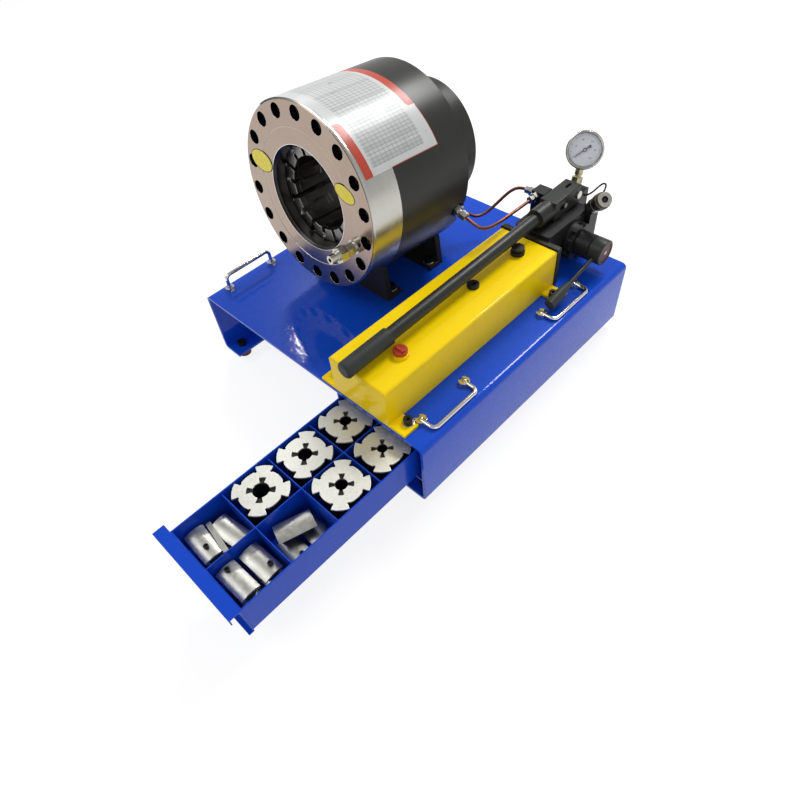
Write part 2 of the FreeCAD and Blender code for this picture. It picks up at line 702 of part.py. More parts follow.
cover_back = cylinder_back + boss_length
cover = turned([(sleeve_r + gap, cylinder_back - rear_wall), (rear_open_r - gap, cylinder_back - rear_wall),
                (rear_open_r - gap, cylinder_back), (boss_r, cylinder_back), (boss_r, cover_back - head_edge),
                (boss_r - head_edge, cover_back), (sleeve_r + gap, cover_back)])
cover_screws = []
for k in range(cover_count):
    angle = 360.0 / cover_count * (k + 0.5)
    seat = head_point(cover_circle, cover_back - cover_head_h - cover_recess, angle)
    hole_r = cover_screw_d / 2 + gap
    cover = cover.cut(rod(seat, V(0, 1, 0), cover_head_d / 2 + gap, 20.0))
    cover_start = head_point(cover_circle, cylinder_back - 1, angle)
    thread = head_point(cover_circle, cylinder_back - cover_thread, angle)
    cover = cover.cut(rod(cover_start, V(0, 1, 0), hole_r, boss_length))
    body = body.cut(rod(thread, V(0, 1, 0), hole_r, cover_thread + 3))
    cover_screws.append(socket_screw(seat, V(0, 1, 0), cover_screw_d, cover_head_d, cover_head_h,
                                     boss_length + 4.0, cover_socket))


def cone_front(y):
    return lip_r + (y - lip_length) * cone_slope


flat_r = cone_front(shoe_flat_y0) - gap


def cone_rear(y):
    return flat_r - (y - shoe_flat_y1) * cone_slope


piston_r = cylinder_r - fit
groove_r = piston_r - seal_depth
piston_outline = [(through_r, pocket_floor), (cone_rear(pocket_floor) + gap, pocket_floor),
                  (cone_rear(pocket_y) + gap, pocket_y), (piston_r - piston_edge, pocket_y),
                  (piston_r, pocket_y + piston_edge)]
seals = []
for y in seal_y:
    piston_outline += [(piston_r, y), (groove_r, y), (groove_r, y + seal_width), (piston_r, y + seal_width)]
    seals.append(turned([(groove_r + gap, y + gap), (piston_r - gap, y + gap),
                         (piston_r - gap, y + seal_width - gap), (groove_r + gap, y + seal_width - gap)]))
piston_outline += [(piston_r, piston_back), (sleeve_r, piston_back), (sleeve_r, sleeve_back), (through_r, sleeve_back)]
piston = turned(piston_outline)

# one master shoe pointing along x, copied round the bore; its round faces fit the cones when it is closed
shoe_closing = piston_stroke / 2 * cone_slope
shoe_outline = [(shoe_inner, shoe_front), (cone_front(shoe_front) - gap, shoe_front), (flat_r, shoe_flat_y0),
                (flat_r, shoe_flat_y1), (cone_rear(shoe_back), shoe_back), (shoe_inner, shoe_back),
                (shoe_inner, shoe_back - 14), (shoe_seat, shoe_back - 14), (shoe_seat, shoe_front + 10),
                (shoe_inner, shoe_front + 10)]
shoe_ring = turned([(r - shoe_closing, y) for r, y in shoe_outline])
shoe_ring.translate(V(shoe_closing, 0, 0))
half_angle = math.radians(22.5)
apex = shoe_side / math.sin(half_angle)
wedge_reach = 160.0
wedge_rise = (wedge_reach - apex) * math.tan(half_angle)
wedge = polygon([V(head_x + apex, face_y, head_z), V(head_x + wedge_reach, face_y, head_z + wedge_rise),
                 V(head_x + wedge_reach, face_y, head_z - wedge_rise)]).extrude(V(0, 200, 0))
shoe = shoe_ring.common(wedge)
along_up = V(math.cos(half_angle), 0, math.sin(half_angle))
normal_up = V(-math.sin(half_angle), 0, math.cos(half_angle))
along_down = V(math.cos(half_angle), 0, -math.sin(half_angle))
normal_down = V(-math.sin(half_angle), 0, -math.cos(half_angle))
centre = V(head_x, face_y, head_z)
rib_start = centre + along_up * rib_s - normal_up * (shoe_side - 1.0) + V(0, shoe_front + 5, 0)
shoe = shoe.fuse(rod(rib_start, V(0, 1, 0), rib_r, shoe_back - shoe_front - 10))
groove_start = centre + along_down * rib_s - normal_down * (shoe_side - 0.4) + V(0, shoe_front - 1, 0)
shoe = shoe.cut(rod(groove_start, V(0, 1, 0), rib_r + 0.8, shoe_back - shoe_front + 2))
shoe = shoe.cut(box(head_x + 50, head_x + 78, face_y + 46, face_y + 86, head_z - 8, head_z + 8))
shoe = shoe.cut(box(head_x + 50, head_x + 72, face_y + 20, face_y + 50, head_z - 4, head_z + 4))
shoe = shoe.fuse(rod(head_point(79, shoe_front - 2, 0), V(0, 1, 0), 3.0, 4.0)).removeSplitter()
for k in range(8):
    turned_shoe = shoe.copy()
    turned_shoe.rotate(centre, V(0, 1, 0), -45.0 * k)
    nodes["die_shoe_%d" % (k + 1)] = lean(turned_shoe)

# saddle legs under the cylinder
leg_bolts = []
cut_round = lean(rod(V(head_x, face_y - 10, head_z), V(0, 1, 0), head_r + gap, 400))
legs = []
for y0, sy in ((front_leg_y, 1), (rear_leg_y - leg_thick, -1)):
    leg = polygon([V(head_x - leg_half, y0, top_z), V(head_x + leg_half, y0, top_z),
                   V(head_x + leg_half - leg_taper, y0, head_z - saddle_drop),
                   V(head_x - leg_half + leg_taper, y0, head_z - saddle_drop)]).extrude(V(0, leg_thick, 0))
    fy0 = y0 + leg_thick if sy > 0 else y0 - leg_foot
    leg = leg.fuse(box(head_x - leg_half, head_x + leg_half, fy0, fy0 + leg_foot, top_z, top_z + leg_foot_thick))
    leg = leg.cut(cut_round)
    for sx in (-1, 1):
        x = head_x + sx * (leg_half - leg_bolt_inset)
        y = fy0 + leg_foot / 2
        hole = rod(V(x, y, top_z - hole_below), V(0, 0, 1), leg_bolt_d / 2 + gap, hole_length)
        leg = leg.cut(hole)
        table = table.cut(hole)
        leg_bolts.append(socket_screw(V(x, y, top_z + leg_foot_thick), V(0, 0, 1), leg_bolt_d, leg_bolt_head_d,
                                      leg_bolt_head_h, leg_bolt_length, leg_bolt_socket))
        leg_bolts.append(nut(V(x, y, top_z - sheet), V(0, 0, -1), leg_bolt_d, leg_nut_across, nut_h))
    legs.append(leg.removeSplitter())

# drawer runners: an angle on the right wall and a hanging channel on the left
tray_z0 = tray_top - tray_h
runner_y0 = front_y + 4.0
runner_y1 = -front_y - 30.0
runner_r = box(tray_x1 + 0.5, right_x - sheet, runner_y0, runner_y1, tray_z0 - 3, tray_z0)
runner_r = runner_r.fuse(box(tray_x1 - 10, tray_x1 + 0.5, runner_y0, runner_y1, tray_z0 - 3, tray_z0))
runner_r = runner_r.fuse(box(right_x - sheet - 3, right_x - sheet, runner_y0, runner_y1,
                             tray_z0 - 3, tray_z0 + 30))
runner_l = box(tray_x0 - 4, tray_x0 - 1, runner_y0, runner_y1, tray_z0 - 3, top_z - sheet)
runner_l = runner_l.fuse(box(tray_x0 - 4, tray_x0 + 10, runner_y0, runner_y1, tray_z0 - 3, tray_z0))
runner_l = runner_l.fuse(box(tray_x0 - 4, tray_x0 + 13, runner_y0, runner_y1,
                             top_z - sheet - 3, top_z - sheet))

# drawer tray, front panel, dividers
tray = box(tray_x0, tray_x1, tray_y0, tray_y0 + tray_len, tray_z0, tray_top)
tray = tray.cut(box(tray_x0 + tray_wall, tray_x1 - tray_wall, tray_y0 + tray_wall,
                    tray_y0 + tray_len - tray_wall, tray_z0 + tray_wall, tray_top + 1))
panel_x0 = tray_x0 - 15.0
panel_x1 = tray_x1 + 1.0
panel_z0 = tray_z0 - 4.0
panel_z1 = tray_top + 2.0
panel = box(panel_x0, panel_x1, tray_y0 - 2, tray_y0, panel_z0, panel_z1)
panel = panel.fuse(box(panel_x0, panel_x1, tray_y0 - 19, tray_y0 - 2, panel_z1 - 2, panel_z1))
panel = panel.fuse(box(panel_x0, panel_x1, tray_y0 - 19, tray_y0 - 17, panel_z1 - 13, panel_z1))
panel = panel.fuse(box(panel_x0, panel_x1, tray_y0 - 9, tray_y0 - 2, panel_z0, panel_z0 + 2)).removeSplitter()
floor_z = tray_z0 + tray_wall
divider_top = tray_top - 4.0
mid_x = (tray_x0 + tray_x1) / 2
inner_y0 = tray_y0 + tray_wall
inner_y1 = tray_y0 + tray_len - tray_wall
dividers = box(mid_x - divider_t / 2, mid_x + divider_t / 2, inner_y0, inner_y1, floor_z, divider_top)
for k in range(1, cell_rows):
    y = inner_y0 + k * cell_y - divider_t / 2
    dividers = dividers.fuse(box(tray_x0 + tray_wall, tray_x1 - tray_wall, y - divider_t / 2,
                                 y + divider_t / 2, floor_z, divider_top))
dividers = dividers.removeSplitter()

# die cages and die rings standing in their cells, and loose dies in three cells
cell_w = (tray_x1 - tray_x0 - 2 * tray_wall - divider_t) / 2
column_x = (mid_x - divider_t / 2 - cell_w / 2, mid_x + divider_t / 2 + cell_w / 2)


def cell_centre(column, row):
    return V(column_x[column], inner_y0 + row * cell_y + (cell_y - divider_t) / 2, floor_z)


def sector(radius, half_degrees, z, height):
    # wedge of a disc that points along x from the origin
    disc = rod(V(0, 0, z), V(0, 0, 1), radius, height)
    rise = 2 * radius * math.tan(math.radians(half_degrees))
    wedge_face = polygon([V(0, 0, z), V(2 * radius, -rise, z), V(2 * radius, rise, z)])
    return disc.common(wedge_face.extrude(V(0, 0, height)))


cage_cells = [(0, 1), (0, 2), (0, 3), (0, 4), (0, 5), (1, 2), (1, 3), (1, 4), (1, 5)]
cages = []
die_rings = []
for column, row in cage_cells:
    hole_r = cage_hole_r - cage_hole_step * (row - 1 + column)
    arm_r = hole_r + cage_arm
    cage = rod(V(0, 0, cage_z), V(0, 0, 1), cage_r, cage_t)
    die_ring = rod(V(0, 0, 0), V(0, 0, 1), cage_r - 1, cage_z)
    die_ring = die_ring.cut(rod(V(0, 0, -1), V(0, 0, 1), hole_r, cage_z + 2))
    for k in range(4):
        turn = 45 + 90 * k
        lug = sector(lug_r, lug_half, cage_z, cage_t)
        arm = sector(arm_r, arm_half, cage_z - 1, cage_t + 2)
        slit = box(-lug_r, lug_r, -slit_half, slit_half, slit_z, cage_z + 1)
        lug.rotate(V(0, 0, 0), V(0, 0, 1), turn)
        arm.rotate(V(0, 0, 0), V(0, 0, 1), turn)
        slit.rotate(V(0, 0, 0), V(0, 0, 1), 22.5 + 45 * k)
        cage = cage.fuse(lug).cut(arm)
        die_ring = die_ring.cut(slit)
        for side in (-1, 1):
            a = math.radians(turn + side * (lug_half + notch_turn))
            notch_centre = V((cage_r + 1) * math.cos(a), (cage_r + 1) * math.sin(a), cage_z - 1)
            cage = cage.cut(rod(notch_centre, V(0, 0, 1), notch_r, cage_t + 2))
    cage = cage.cut(rod(V(0, 0, cage_z - 1), V(0, 0, 1), hole_r, cage_t + 2)).removeSplitter()
    cage.translate(cell_centre(column, row))
    die_ring.translate(cell_centre(column, row))
    cages.append(cage)
    die_rings.append(die_ring)


def die_segment(inner, outer, half_degrees, length):
    # arched bar along x that stands on the inner edges of its section
    half_angle = math.radians(half_degrees)
    solid = rod(V(-length / 2, 0, 0), V(1, 0, 0), outer, length)
    solid = solid.cut(rod(V(-length, 0, 0), V(1, 0, 0), inner, length * 2))
    side = 2 * outer * math.tan(half_angle)
    keep = polygon([V(-length, 0, 0), V(-length, -side, 2 * outer), V(-length, side, 2 * outer)])
    return solid.common(keep.extrude(V(length * 2, 0, 0)))


die = die_segment(die_in, die_out - die_plate, die_half, die_body_length)
die = die.fuse(die_segment(die_out - die_plate - 0.2, die_out, plate_half, die_plate_length)).removeSplitter()
die.translate(V(0, 0, -die_in * math.cos(math.radians(die_half))))
die_height = die_out - die_in * math.cos(math.radians(die_half))

# column, row, place across, place along, layer and turn of each loose die
die_places = [(0, 0, 5, -19, 0, 0), (0, 0, 4, 19, 0, 2), (0, 0, -7, -20, 1, -2), (0, 0, 6, 18, 1, 9),
              (1, 0, 4, -20, 0, 1), (1, 0, 6, 19, 0, -1), (1, 0, -8, -20, 1, 2), (1, 0, -6, 18, 1, 3),
              (1, 1, 9, -19, 0, 0), (1, 1, 8, 19, 0, -2), (1, 1, -13, 0, 1, 72)]
loose = []
for column, row, across, along, layer, turn in die_places:
    loose_die = die.copy()
    loose_die.rotate(V(0, 0, 0), V(0, 0, 1), turn)
    loose_die.translate(cell_centre(column, row) + V(across, along, layer * (die_height + die_gap)))
    loose.append(loose_die)

# carry handles and their collars
collars = []


def bow(x, y0, side):
    # stands upright when side is 0, lies flat to the right for +1 and to the left for -1
    z = top_z + handle_pivot
    rise = V(0, 0, handle_rise)
    a = V(x, y0, z)
    b = V(x, y0 + handle_span, z)
    bar = bent_rod([a, a + rise, b + rise, b], 9.0, handle_rod / 2)
    for end in (a, b):
        bar = bar.fuse(rod(end - V(0, eye_width / 2, 0), V(0, 1, 0), eye_r, eye_width))
        bar = bar.fuse(rod(end - V(0, collar_d / 2 - 2.5, 0), V(0, 1, 0), 1.4, collar_d - 5))
    bar = bar.removeSplitter()
    bar.rotate(a, V(0, 1, 0), 90.0 * side)
    return bar


for x in (left_handle_x, right_handle_x):
    for y0 in handle_y:
        for y in (y0, y0 + handle_span):
            ring_piece = rod(V(x, y, top_z), V(0, 0, 1), collar_d / 2, collar_h)
            slot_half = handle_rod / 2 + gap
            ring_piece = ring_piece.cut(box(x - 20, x + 20, y - slot_half, y + slot_half,
                                            top_z + 0.5, top_z + 20))
            ring_piece = ring_piece.cut(rod(V(x, y - 20, top_z + handle_pivot), V(0, 1, 0), 1.4 + fit, 40))
            collars.append(ring_piece)
nodes["handle_front_left"] = bow(left_handle_x, handle_y[0], 0)
nodes["handle_rear_left"] = bow(left_handle_x, handle_y[1], 1)
nodes["handle_front_right"] = bow(right_handle_x, handle_y[0], 1)
nodes["handle_rear_right"] = bow(right_handle_x, handle_y[1], 1)

# thin pipe from the pump to the coupler
bleed_start = V(pump_x + 10.0, pump_y + 148.5, body_z1)
coupler_side = V(0, 0.86, 0.5)
coupler_side = coupler_side - coupler_dir * coupler_side.dot(coupler_dir)
coupler_side.normalize()
bleed_end = coupler_base + coupler_dir * 18 + coupler_side * (coupler_r + gap)
bypass_pipe = bent_rod([bleed_start, bleed_start + V(16, 0, 0), bleed_start + V(26, -4, 22),
                        bleed_end + coupler_side * 7, bleed_end], 5.0, 1.6)

nodes["table"] = table.removeSplitter()
nodes["rubber_feet"] = group(feet)
nodes["foot_bolts"] = group(foot_bolts)
nodes["drawer_runners"] = group([runner_l.removeSplitter(), runner_r.removeSplitter()])
nodes["saddle_legs"] = group(legs)
nodes["leg_bolts"] = group(leg_bolts)
nodes["front_ring"] = lean(ring)
nodes["ring_screws"] = lean(group(ring_screws))
nodes["cylinder_body"] = lean(body)
nodes["rear_cover"] = lean(cover)
nodes["cover_screws"] = lean(group(cover_screws))
nodes["piston"] = lean(piston)
nodes["piston_seals"] = lean(group(seals))
nodes["face_fitting"] = lean(face_fitting)
nodes["port_fittings"] = group(port_fittings)
nodes["feed_pipe"] = feed_pipe
nodes["return_pipe"] = return_pipe
nodes["oil_tank"] = tank
nodes["tank_bolts"] = group(tank_bolts)
nodes["filler_cap"] = cap
nodes["breather_knob"] = breather
nodes["tank_plug"] = plug
nodes["tank_end_plate"] = plate
nodes["pump_body"] = pump
nodes["pivot_pin"] = pivot_pin
nodes["pump_plunger"] = plunger
nodes["lever_head"] = block
nodes["lever_tube"] = tube
nodes["lever_grip"] = grip
nodes["valve_collar"] = collar
nodes["valve_body"] = valve
nodes["valve_cap"] = valve_cap
nodes["release_rod"] = release_rod
nodes["release_grip"] = release_grip
nodes["gauge_adapter"] = adapter
nodes["gauge_case"] = case
nodes["gauge_dial"] = dial
nodes["gauge_needle"] = needle
nodes["coupler_body"] = coupler
nodes["coupler_sleeve"] = sleeve
nodes["bypass_pipe"] = bypass_pipe
nodes["handle_collars"] = group(collars)
nodes["drawer_tray"] = tray
nodes["drawer_front"] = panel
nodes["drawer_dividers"] = dividers
nodes["die_cages"] = group(cages)
nodes["die_rings"] = group(die_rings)
nodes["loose_dies"] = group(loose)

# the origin lies on the floor under the middle of the whole machine
front_end = nodes["drawer_front"].optimalBoundingBox().YMin
back_end = nodes["gauge_case"].optimalBoundingBox().YMax
shift = V(0, -(front_end + back_end) / 2, 0)
print("shift", round(shift.y, 4))

for name, shape in nodes.items():
    shape.translate(shift)
    shape.exportStep("parts/%s.step" % name)
    print(name, len(shape.Solids), shape.isValid(), round(shape.Volume))
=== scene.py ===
import bpy
import bmesh
import functools
import json
import math
from mathutils import Matrix, Vector


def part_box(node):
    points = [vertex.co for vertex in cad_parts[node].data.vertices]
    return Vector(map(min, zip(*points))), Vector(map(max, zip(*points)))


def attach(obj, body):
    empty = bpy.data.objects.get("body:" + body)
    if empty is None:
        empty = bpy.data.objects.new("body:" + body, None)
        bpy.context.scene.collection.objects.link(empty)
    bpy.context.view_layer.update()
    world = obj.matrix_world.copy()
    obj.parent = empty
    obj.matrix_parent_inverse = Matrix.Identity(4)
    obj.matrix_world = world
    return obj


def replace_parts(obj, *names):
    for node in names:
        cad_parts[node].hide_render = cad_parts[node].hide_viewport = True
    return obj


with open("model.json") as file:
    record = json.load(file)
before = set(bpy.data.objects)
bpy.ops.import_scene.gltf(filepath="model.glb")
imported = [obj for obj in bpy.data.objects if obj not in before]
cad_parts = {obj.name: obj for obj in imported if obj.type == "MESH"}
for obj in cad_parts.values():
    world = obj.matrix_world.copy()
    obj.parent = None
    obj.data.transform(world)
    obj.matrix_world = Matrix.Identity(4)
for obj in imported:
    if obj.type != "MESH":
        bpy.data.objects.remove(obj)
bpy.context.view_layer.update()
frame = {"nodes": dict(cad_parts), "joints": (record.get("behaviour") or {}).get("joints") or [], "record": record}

scene = bpy.context.scene
record = frame["record"]
joints = {j["name"]: j for j in frame["joints"]}
bodyOf = {n: b for b, members in record["behaviour"]["bodies"].items() for n in members}
print("frame loaded:", len(frame["nodes"]), "nodes")


def linkObject(name, data):
    linked = bpy.data.objects.new(name, data)
    scene.collection.objects.link(linked)
    return linked


# camera at the photograph's angle, taken for a square picture
cameraView = {
    "place": (0.64141, -0.49872, 0.87150),
    "turnDegrees": (40.263, 4.141, 43.728),
    "focalLength": 27.465,
    "sensorWidth": 36.0,
}
cameraData = bpy.data.cameras.new("camera")
cameraData.lens = cameraView["focalLength"]
cameraData.sensor_width = cameraView["sensorWidth"]
cameraData.clip_start = 0.02
cameraData.clip_end = 60.0
camera = linkObject("camera", cameraData)
camera.location = cameraView["place"]
camera.rotation_euler = [math.radians(a) for a in cameraView["turnDegrees"]]
scene.camera = camera
scene.view_settings.view_transform = "Standard"

# soft studio light from a few large lamps in a pale room
lamps = {
    "keyLamp": {"place": (-1.3, -1.5, 2.3), "size": (1.5, 1.2), "watts": 18.0},
    "fillLamp": {"place": (2.2, -0.9, 1.5), "size": (1.4, 1.4), "watts": 5.0},
    "rearLamp": {"place": (0.0, 1.5, 2.0), "size": (0.8, 0.5), "watts": 33.0},
    "windowLampLeft": {"place": (-1.60, 1.10, 1.75), "size": (0.26, 0.13), "watts": 9.0},
    "windowLampRight": {"place": (-1.57, 0.84, 1.75), "size": (0.18, 0.10), "watts": 5.0},
}
lampAim = Vector((0.0, 0.05, 0.2))


def makeLamp(name, settings):
    data = bpy.data.lights.new(name, "AREA")
    data.shape = "RECTANGLE"
    data.size, data.size_y = settings["size"]
    data.energy = settings["watts"]
    lamp = linkObject(name, data)
    lamp.location = settings["place"]
    lamp.rotation_euler = (lampAim - Vector(settings["place"])).to_track_quat("-Z", "Y").to_euler()


for lampName, lampSettings in lamps.items():
    makeLamp(lampName, lampSettings)


# small helpers for node trees
def plug(tree, value, socket):
    # a value may be a plain number or colour, or the output of another node
    if isinstance(value, bpy.types.NodeSocket):
        tree.links.new(value, socket)
    elif socket.type == "RGBA":
        socket.default_value = (*value, 1.0)
    else:
        socket.default_value = value


def addNode(tree, kind, sockets=None, **values):
    node = tree.nodes.new(kind)
    for key, value in values.items():
        setattr(node, key, value)
    for key, value in (sockets or {}).items():
        plug(tree, value, node.inputs[key])
    return node


def addMath(tree, operation, first, second=0.0, clamp=False):
    terms = {0: first, 1: second}
    return addNode(tree, "ShaderNodeMath", terms, operation=operation, use_clamp=clamp).outputs[0]


def mathTools(tree, *operations):
    # short forms of the sums that one tree needs
    return [functools.partial(addMath, tree, operation) for operation in operations]


def addRamp(tree, factor, stops):
    # stops are (position, grey) pairs
    node = addNode(tree, "ShaderNodeValToRGB", {0: factor})
    ramp = node.color_ramp
    for k, (position, grey) in enumerate(stops):
        stop = ramp.elements[k] if k < 2 else ramp.elements.new(position)
        stop.position = position
        stop.color = (grey, grey, grey, 1.0)
    return node.outputs[0]


def addMix(tree, factor, first, second):
    return addNode(tree, "ShaderNodeMix", {0: factor, 6: first, 7: second}, data_type="RGBA").outputs[2]


def addNoise(tree, place, scale, detail=3.0, roughness=0.55, distortion=0.0):
    return addNode(tree, "ShaderNodeTexNoise", {
        "Vector": place, "Scale": scale, "Detail": detail, "Roughness": roughness,
        "Distortion": distortion}).outputs[0]


def addMapping(tree, place, move=(0, 0, 0), turn=(0, 0, 0), scale=(1, 1, 1)):
    return addNode(tree, "ShaderNodeMapping", {
        "Vector": place, "Location": move, "Rotation": turn, "Scale": scale}).outputs[0]


def addBump(tree, height, strength, distance, base=None):
    node = addNode(tree, "ShaderNodeBump", {"Strength": strength, "Distance": distance, "Height": height})
    if base is not None:
        plug(tree, base, node.inputs["Normal"])
    return node.outputs[0]


edgeMask = {"samples": 6, "contrast": 6.0}


def addEdges(tree, radius):
    # a rounded normal along sharp edges, and a mask that is 1 on those edges
    bevel = addNode(tree, "ShaderNodeBevel", {"Radius": radius}, samples=edgeMask["samples"]).outputs[0]
    flat = addNode(tree, "ShaderNodeNewGeometry").outputs["Normal"]
    alike = addNode(tree, "ShaderNodeVectorMath", {0: bevel, 1: flat}, operation="DOT_PRODUCT")
    unlike = addMath(tree, "SUBTRACT", 1.0, alike.outputs["Value"])
    return bevel, addMath(tree, "MULTIPLY", unlike, edgeMask["contrast"], clamp=True)


def emptyTree(owner):
    owner.use_nodes = True
    owner.node_tree.nodes.clear()
    return owner.node_tree


def startMaterial(name):
    material = bpy.data.materials.new(name)
    tree = emptyTree(material)
    shader = addNode(tree, "ShaderNodeBsdfPrincipled")
    addNode(tree, "ShaderNodeOutputMaterial", {"Surface": shader.outputs[0]})
    return material, tree, shader, addNode(tree, "ShaderNodeTexCoord").outputs["Object"]


def setShader(tree, shader, sockets):
    for key, value in sockets.items():
        plug(tree, value, shader.inputs[key])


# noises as scale, detail and roughness, and the span of a noise over which wear and roughness change
powderGrain = {
    "cloud": (9.0, 2.0), "fine": (60.0, 4.0, 0.6), "wear": (0.45, 0.7), "rough": (0.3, 0.75),
    "peel": (1.5, 0.5), "peelDepth": 0.0006, "dust": (900.0, 2.0, 0.5), "dustBump": (0.05, 0.0002)}
satinGrain = {
    "cloud": (14.0, 3.0), "fine": (140.0, 4.0, 0.65), "wear": (0.4, 0.62), "rough": (0.25, 0.8),
    "grain": (3.0, 0.6), "depth": 0.0005}
metalGrain = {"brush": (60.0, 4.0, 0.6), "smudge": (4.0, 0.6, 0.3), "rough": (0.3, 0.75), "depth": 0.0003}
softGrain = {"cloud": (30.0, 3.0), "grain": (3.0, 0.6), "rough": (0.3, 0.7), "depth": 0.0003}

# what all finishes of a kind set on the shader
powderShine = {"IOR": 1.5, "Specular IOR Level": 0.05, "Coat Roughness": 0.035}
satinShine = {"IOR": 1.5, "Specular IOR Level": 0.28}
softShine = {"Specular IOR Level": 0.3, "Coat Roughness": 0.1}
sheetShine = {"Specular IOR Level": 0.3, "Coat Roughness": 0.2, "Coat Weight": 0.12}


def roughRamp(tree, factor, stops, look):
    return addRamp(tree, factor, list(zip(stops, look["rough"])))


def paintSurface(tree, shader, place, look, grain):
    # clouded colour that is worn along the edges, and its roughness; gives the rounded normal
    cloud = addNoise(tree, place, *grain["cloud"])
    fine = addNoise(tree, place, *grain["fine"])
    rounded, edges = addEdges(tree, look["edge"])
    colour = addMix(tree, cloud, look["deep"], look["colour"])
    wear = addRamp(tree, fine, list(zip(grain["wear"], (0.0, look["wear"]))))
    colour = addMix(tree, addMath(tree, "MULTIPLY", edges, wear), colour, look["worn"])
    setShader(tree, shader, {"Base Color": colour, "Roughness": roughRamp(tree, fine, grain["rough"], look)})
    return rounded


# glossy powder coat: blue table and drawer, yellow tank
def powderCoat(name, look):
    material, tree, shader, place = startMaterial(name)
    rounded = paintSurface(tree, shader, place, look, powderGrain)
    peel = addNoise(tree, place, look["peelScale"], *powderGrain["peel"])
    peel = addBump(tree, peel, look["peel"], powderGrain["peelDepth"], rounded)
    dust = addBump(tree, addNoise(tree, place, *powderGrain["dust"]), *powderGrain["dustBump"], peel)
    setShader(tree, shader, {"Normal": dust, "Coat Normal": peel, "Coat Weight": look["coat"], **powderShine})
    return material


powderLooks = {
    "bluePowder": {
        "colour": (0.006, 0.070, 0.58), "deep": (0.005, 0.063, 0.53), "worn": (0.08, 0.17, 0.62),
        "edge": 0.0007, "wear": 0.35, "rough": (0.24, 0.32), "peelScale": 190.0, "peel": 0.20,
        "coat": 0.45},
    "drawerPowder": {
        "colour": (0.006, 0.062, 0.54), "deep": (0.005, 0.054, 0.48), "worn": (0.10, 0.20, 0.62),
        "edge": 0.0006, "wear": 0.7, "rough": (0.26, 0.36), "peelScale": 210.0, "peel": 0.14,
        "coat": 0.3},
    "yellowPowder": {
        "colour": (0.95, 0.67, 0.004), "deep": (0.92, 0.64, 0.003), "worn": (0.94, 0.76, 0.12),
        "edge": 0.0008, "wear": 0.3, "rough": (0.26, 0.32), "peelScale": 170.0, "peel": 0.12,
        "coat": 0.35},
}


# satin paint and oxide on heavy steel parts
def satinPaint(name, look):
    material, tree, shader, place = startMaterial(name)
    rounded = paintSurface(tree, shader, place, look, satinGrain)
    grain = addNoise(tree, place, look["grainScale"], *satinGrain["grain"])
    normal = addBump(tree, grain, look["grain"], satinGrain["depth"], rounded)
    setShader(tree, shader, {"Normal": normal, "Metallic": look.get("metal", 0.0), **satinShine})
    return material


satinLooks = {
    "bodyBlack": {
        "colour": (0.028, 0.028, 0.024), "deep": (0.022, 0.022, 0.019), "worn": (0.12, 0.12, 0.11),
        "edge": 0.0008, "wear": 0.5, "rough": (0.28, 0.35), "grainScale": 260.0, "grain": 0.08},
    "castBlack": {
        "colour": (0.015, 0.015, 0.014), "deep": (0.009, 0.009, 0.009), "worn": (0.10, 0.10, 0.095),
        "edge": 0.0012, "wear": 0.6, "rough": (0.36, 0.52), "grainScale": 420.0, "grain": 0.45},
    "oxideBlack": {
        "colour": (0.045, 0.044, 0.042), "deep": (0.020, 0.020, 0.021), "worn": (0.22, 0.21, 0.19),
        "edge": 0.0004, "wear": 0.9, "rough": (0.26, 0.42), "grainScale": 520.0, "grain": 0.25,
        "metal": 0.75},
    "greySteel": {
        "colour": (0.024, 0.027, 0.023), "deep": (0.017, 0.019, 0.016), "worn": (0.11, 0.115, 0.105),
        "edge": 0.0008, "wear": 0.6, "rough": (0.34, 0.46), "grainScale": 300.0, "grain": 0.2},
}


# bare metals: plated, drawn and turned
def bareMetal(name, look):
    material, tree, shader, place = startMaterial(name)
    stretched = addMapping(tree, place, scale=look.get("brush", (1, 1, 1)))
    brush = addNoise(tree, stretched, *metalGrain["brush"])
    smudge = addNoise(tree, place, look["smudgeScale"], *metalGrain["smudge"])
    rounded, edges = addEdges(tree, look["edge"])
    colour = addMix(tree, smudge, look["deep"], look["colour"])
    grooves = addMath(tree, "MULTIPLY", brush, look["brushRough"])
    setShader(tree, shader, {
        "Base Color": addMix(tree, edges, colour, look["worn"]), "Metallic": 1.0,
        "Roughness": addMath(tree, "ADD", roughRamp(tree, smudge, metalGrain["rough"], look), grooves),
        "Normal": addBump(tree, brush, look["brushBump"], metalGrain["depth"], rounded)})
    return material


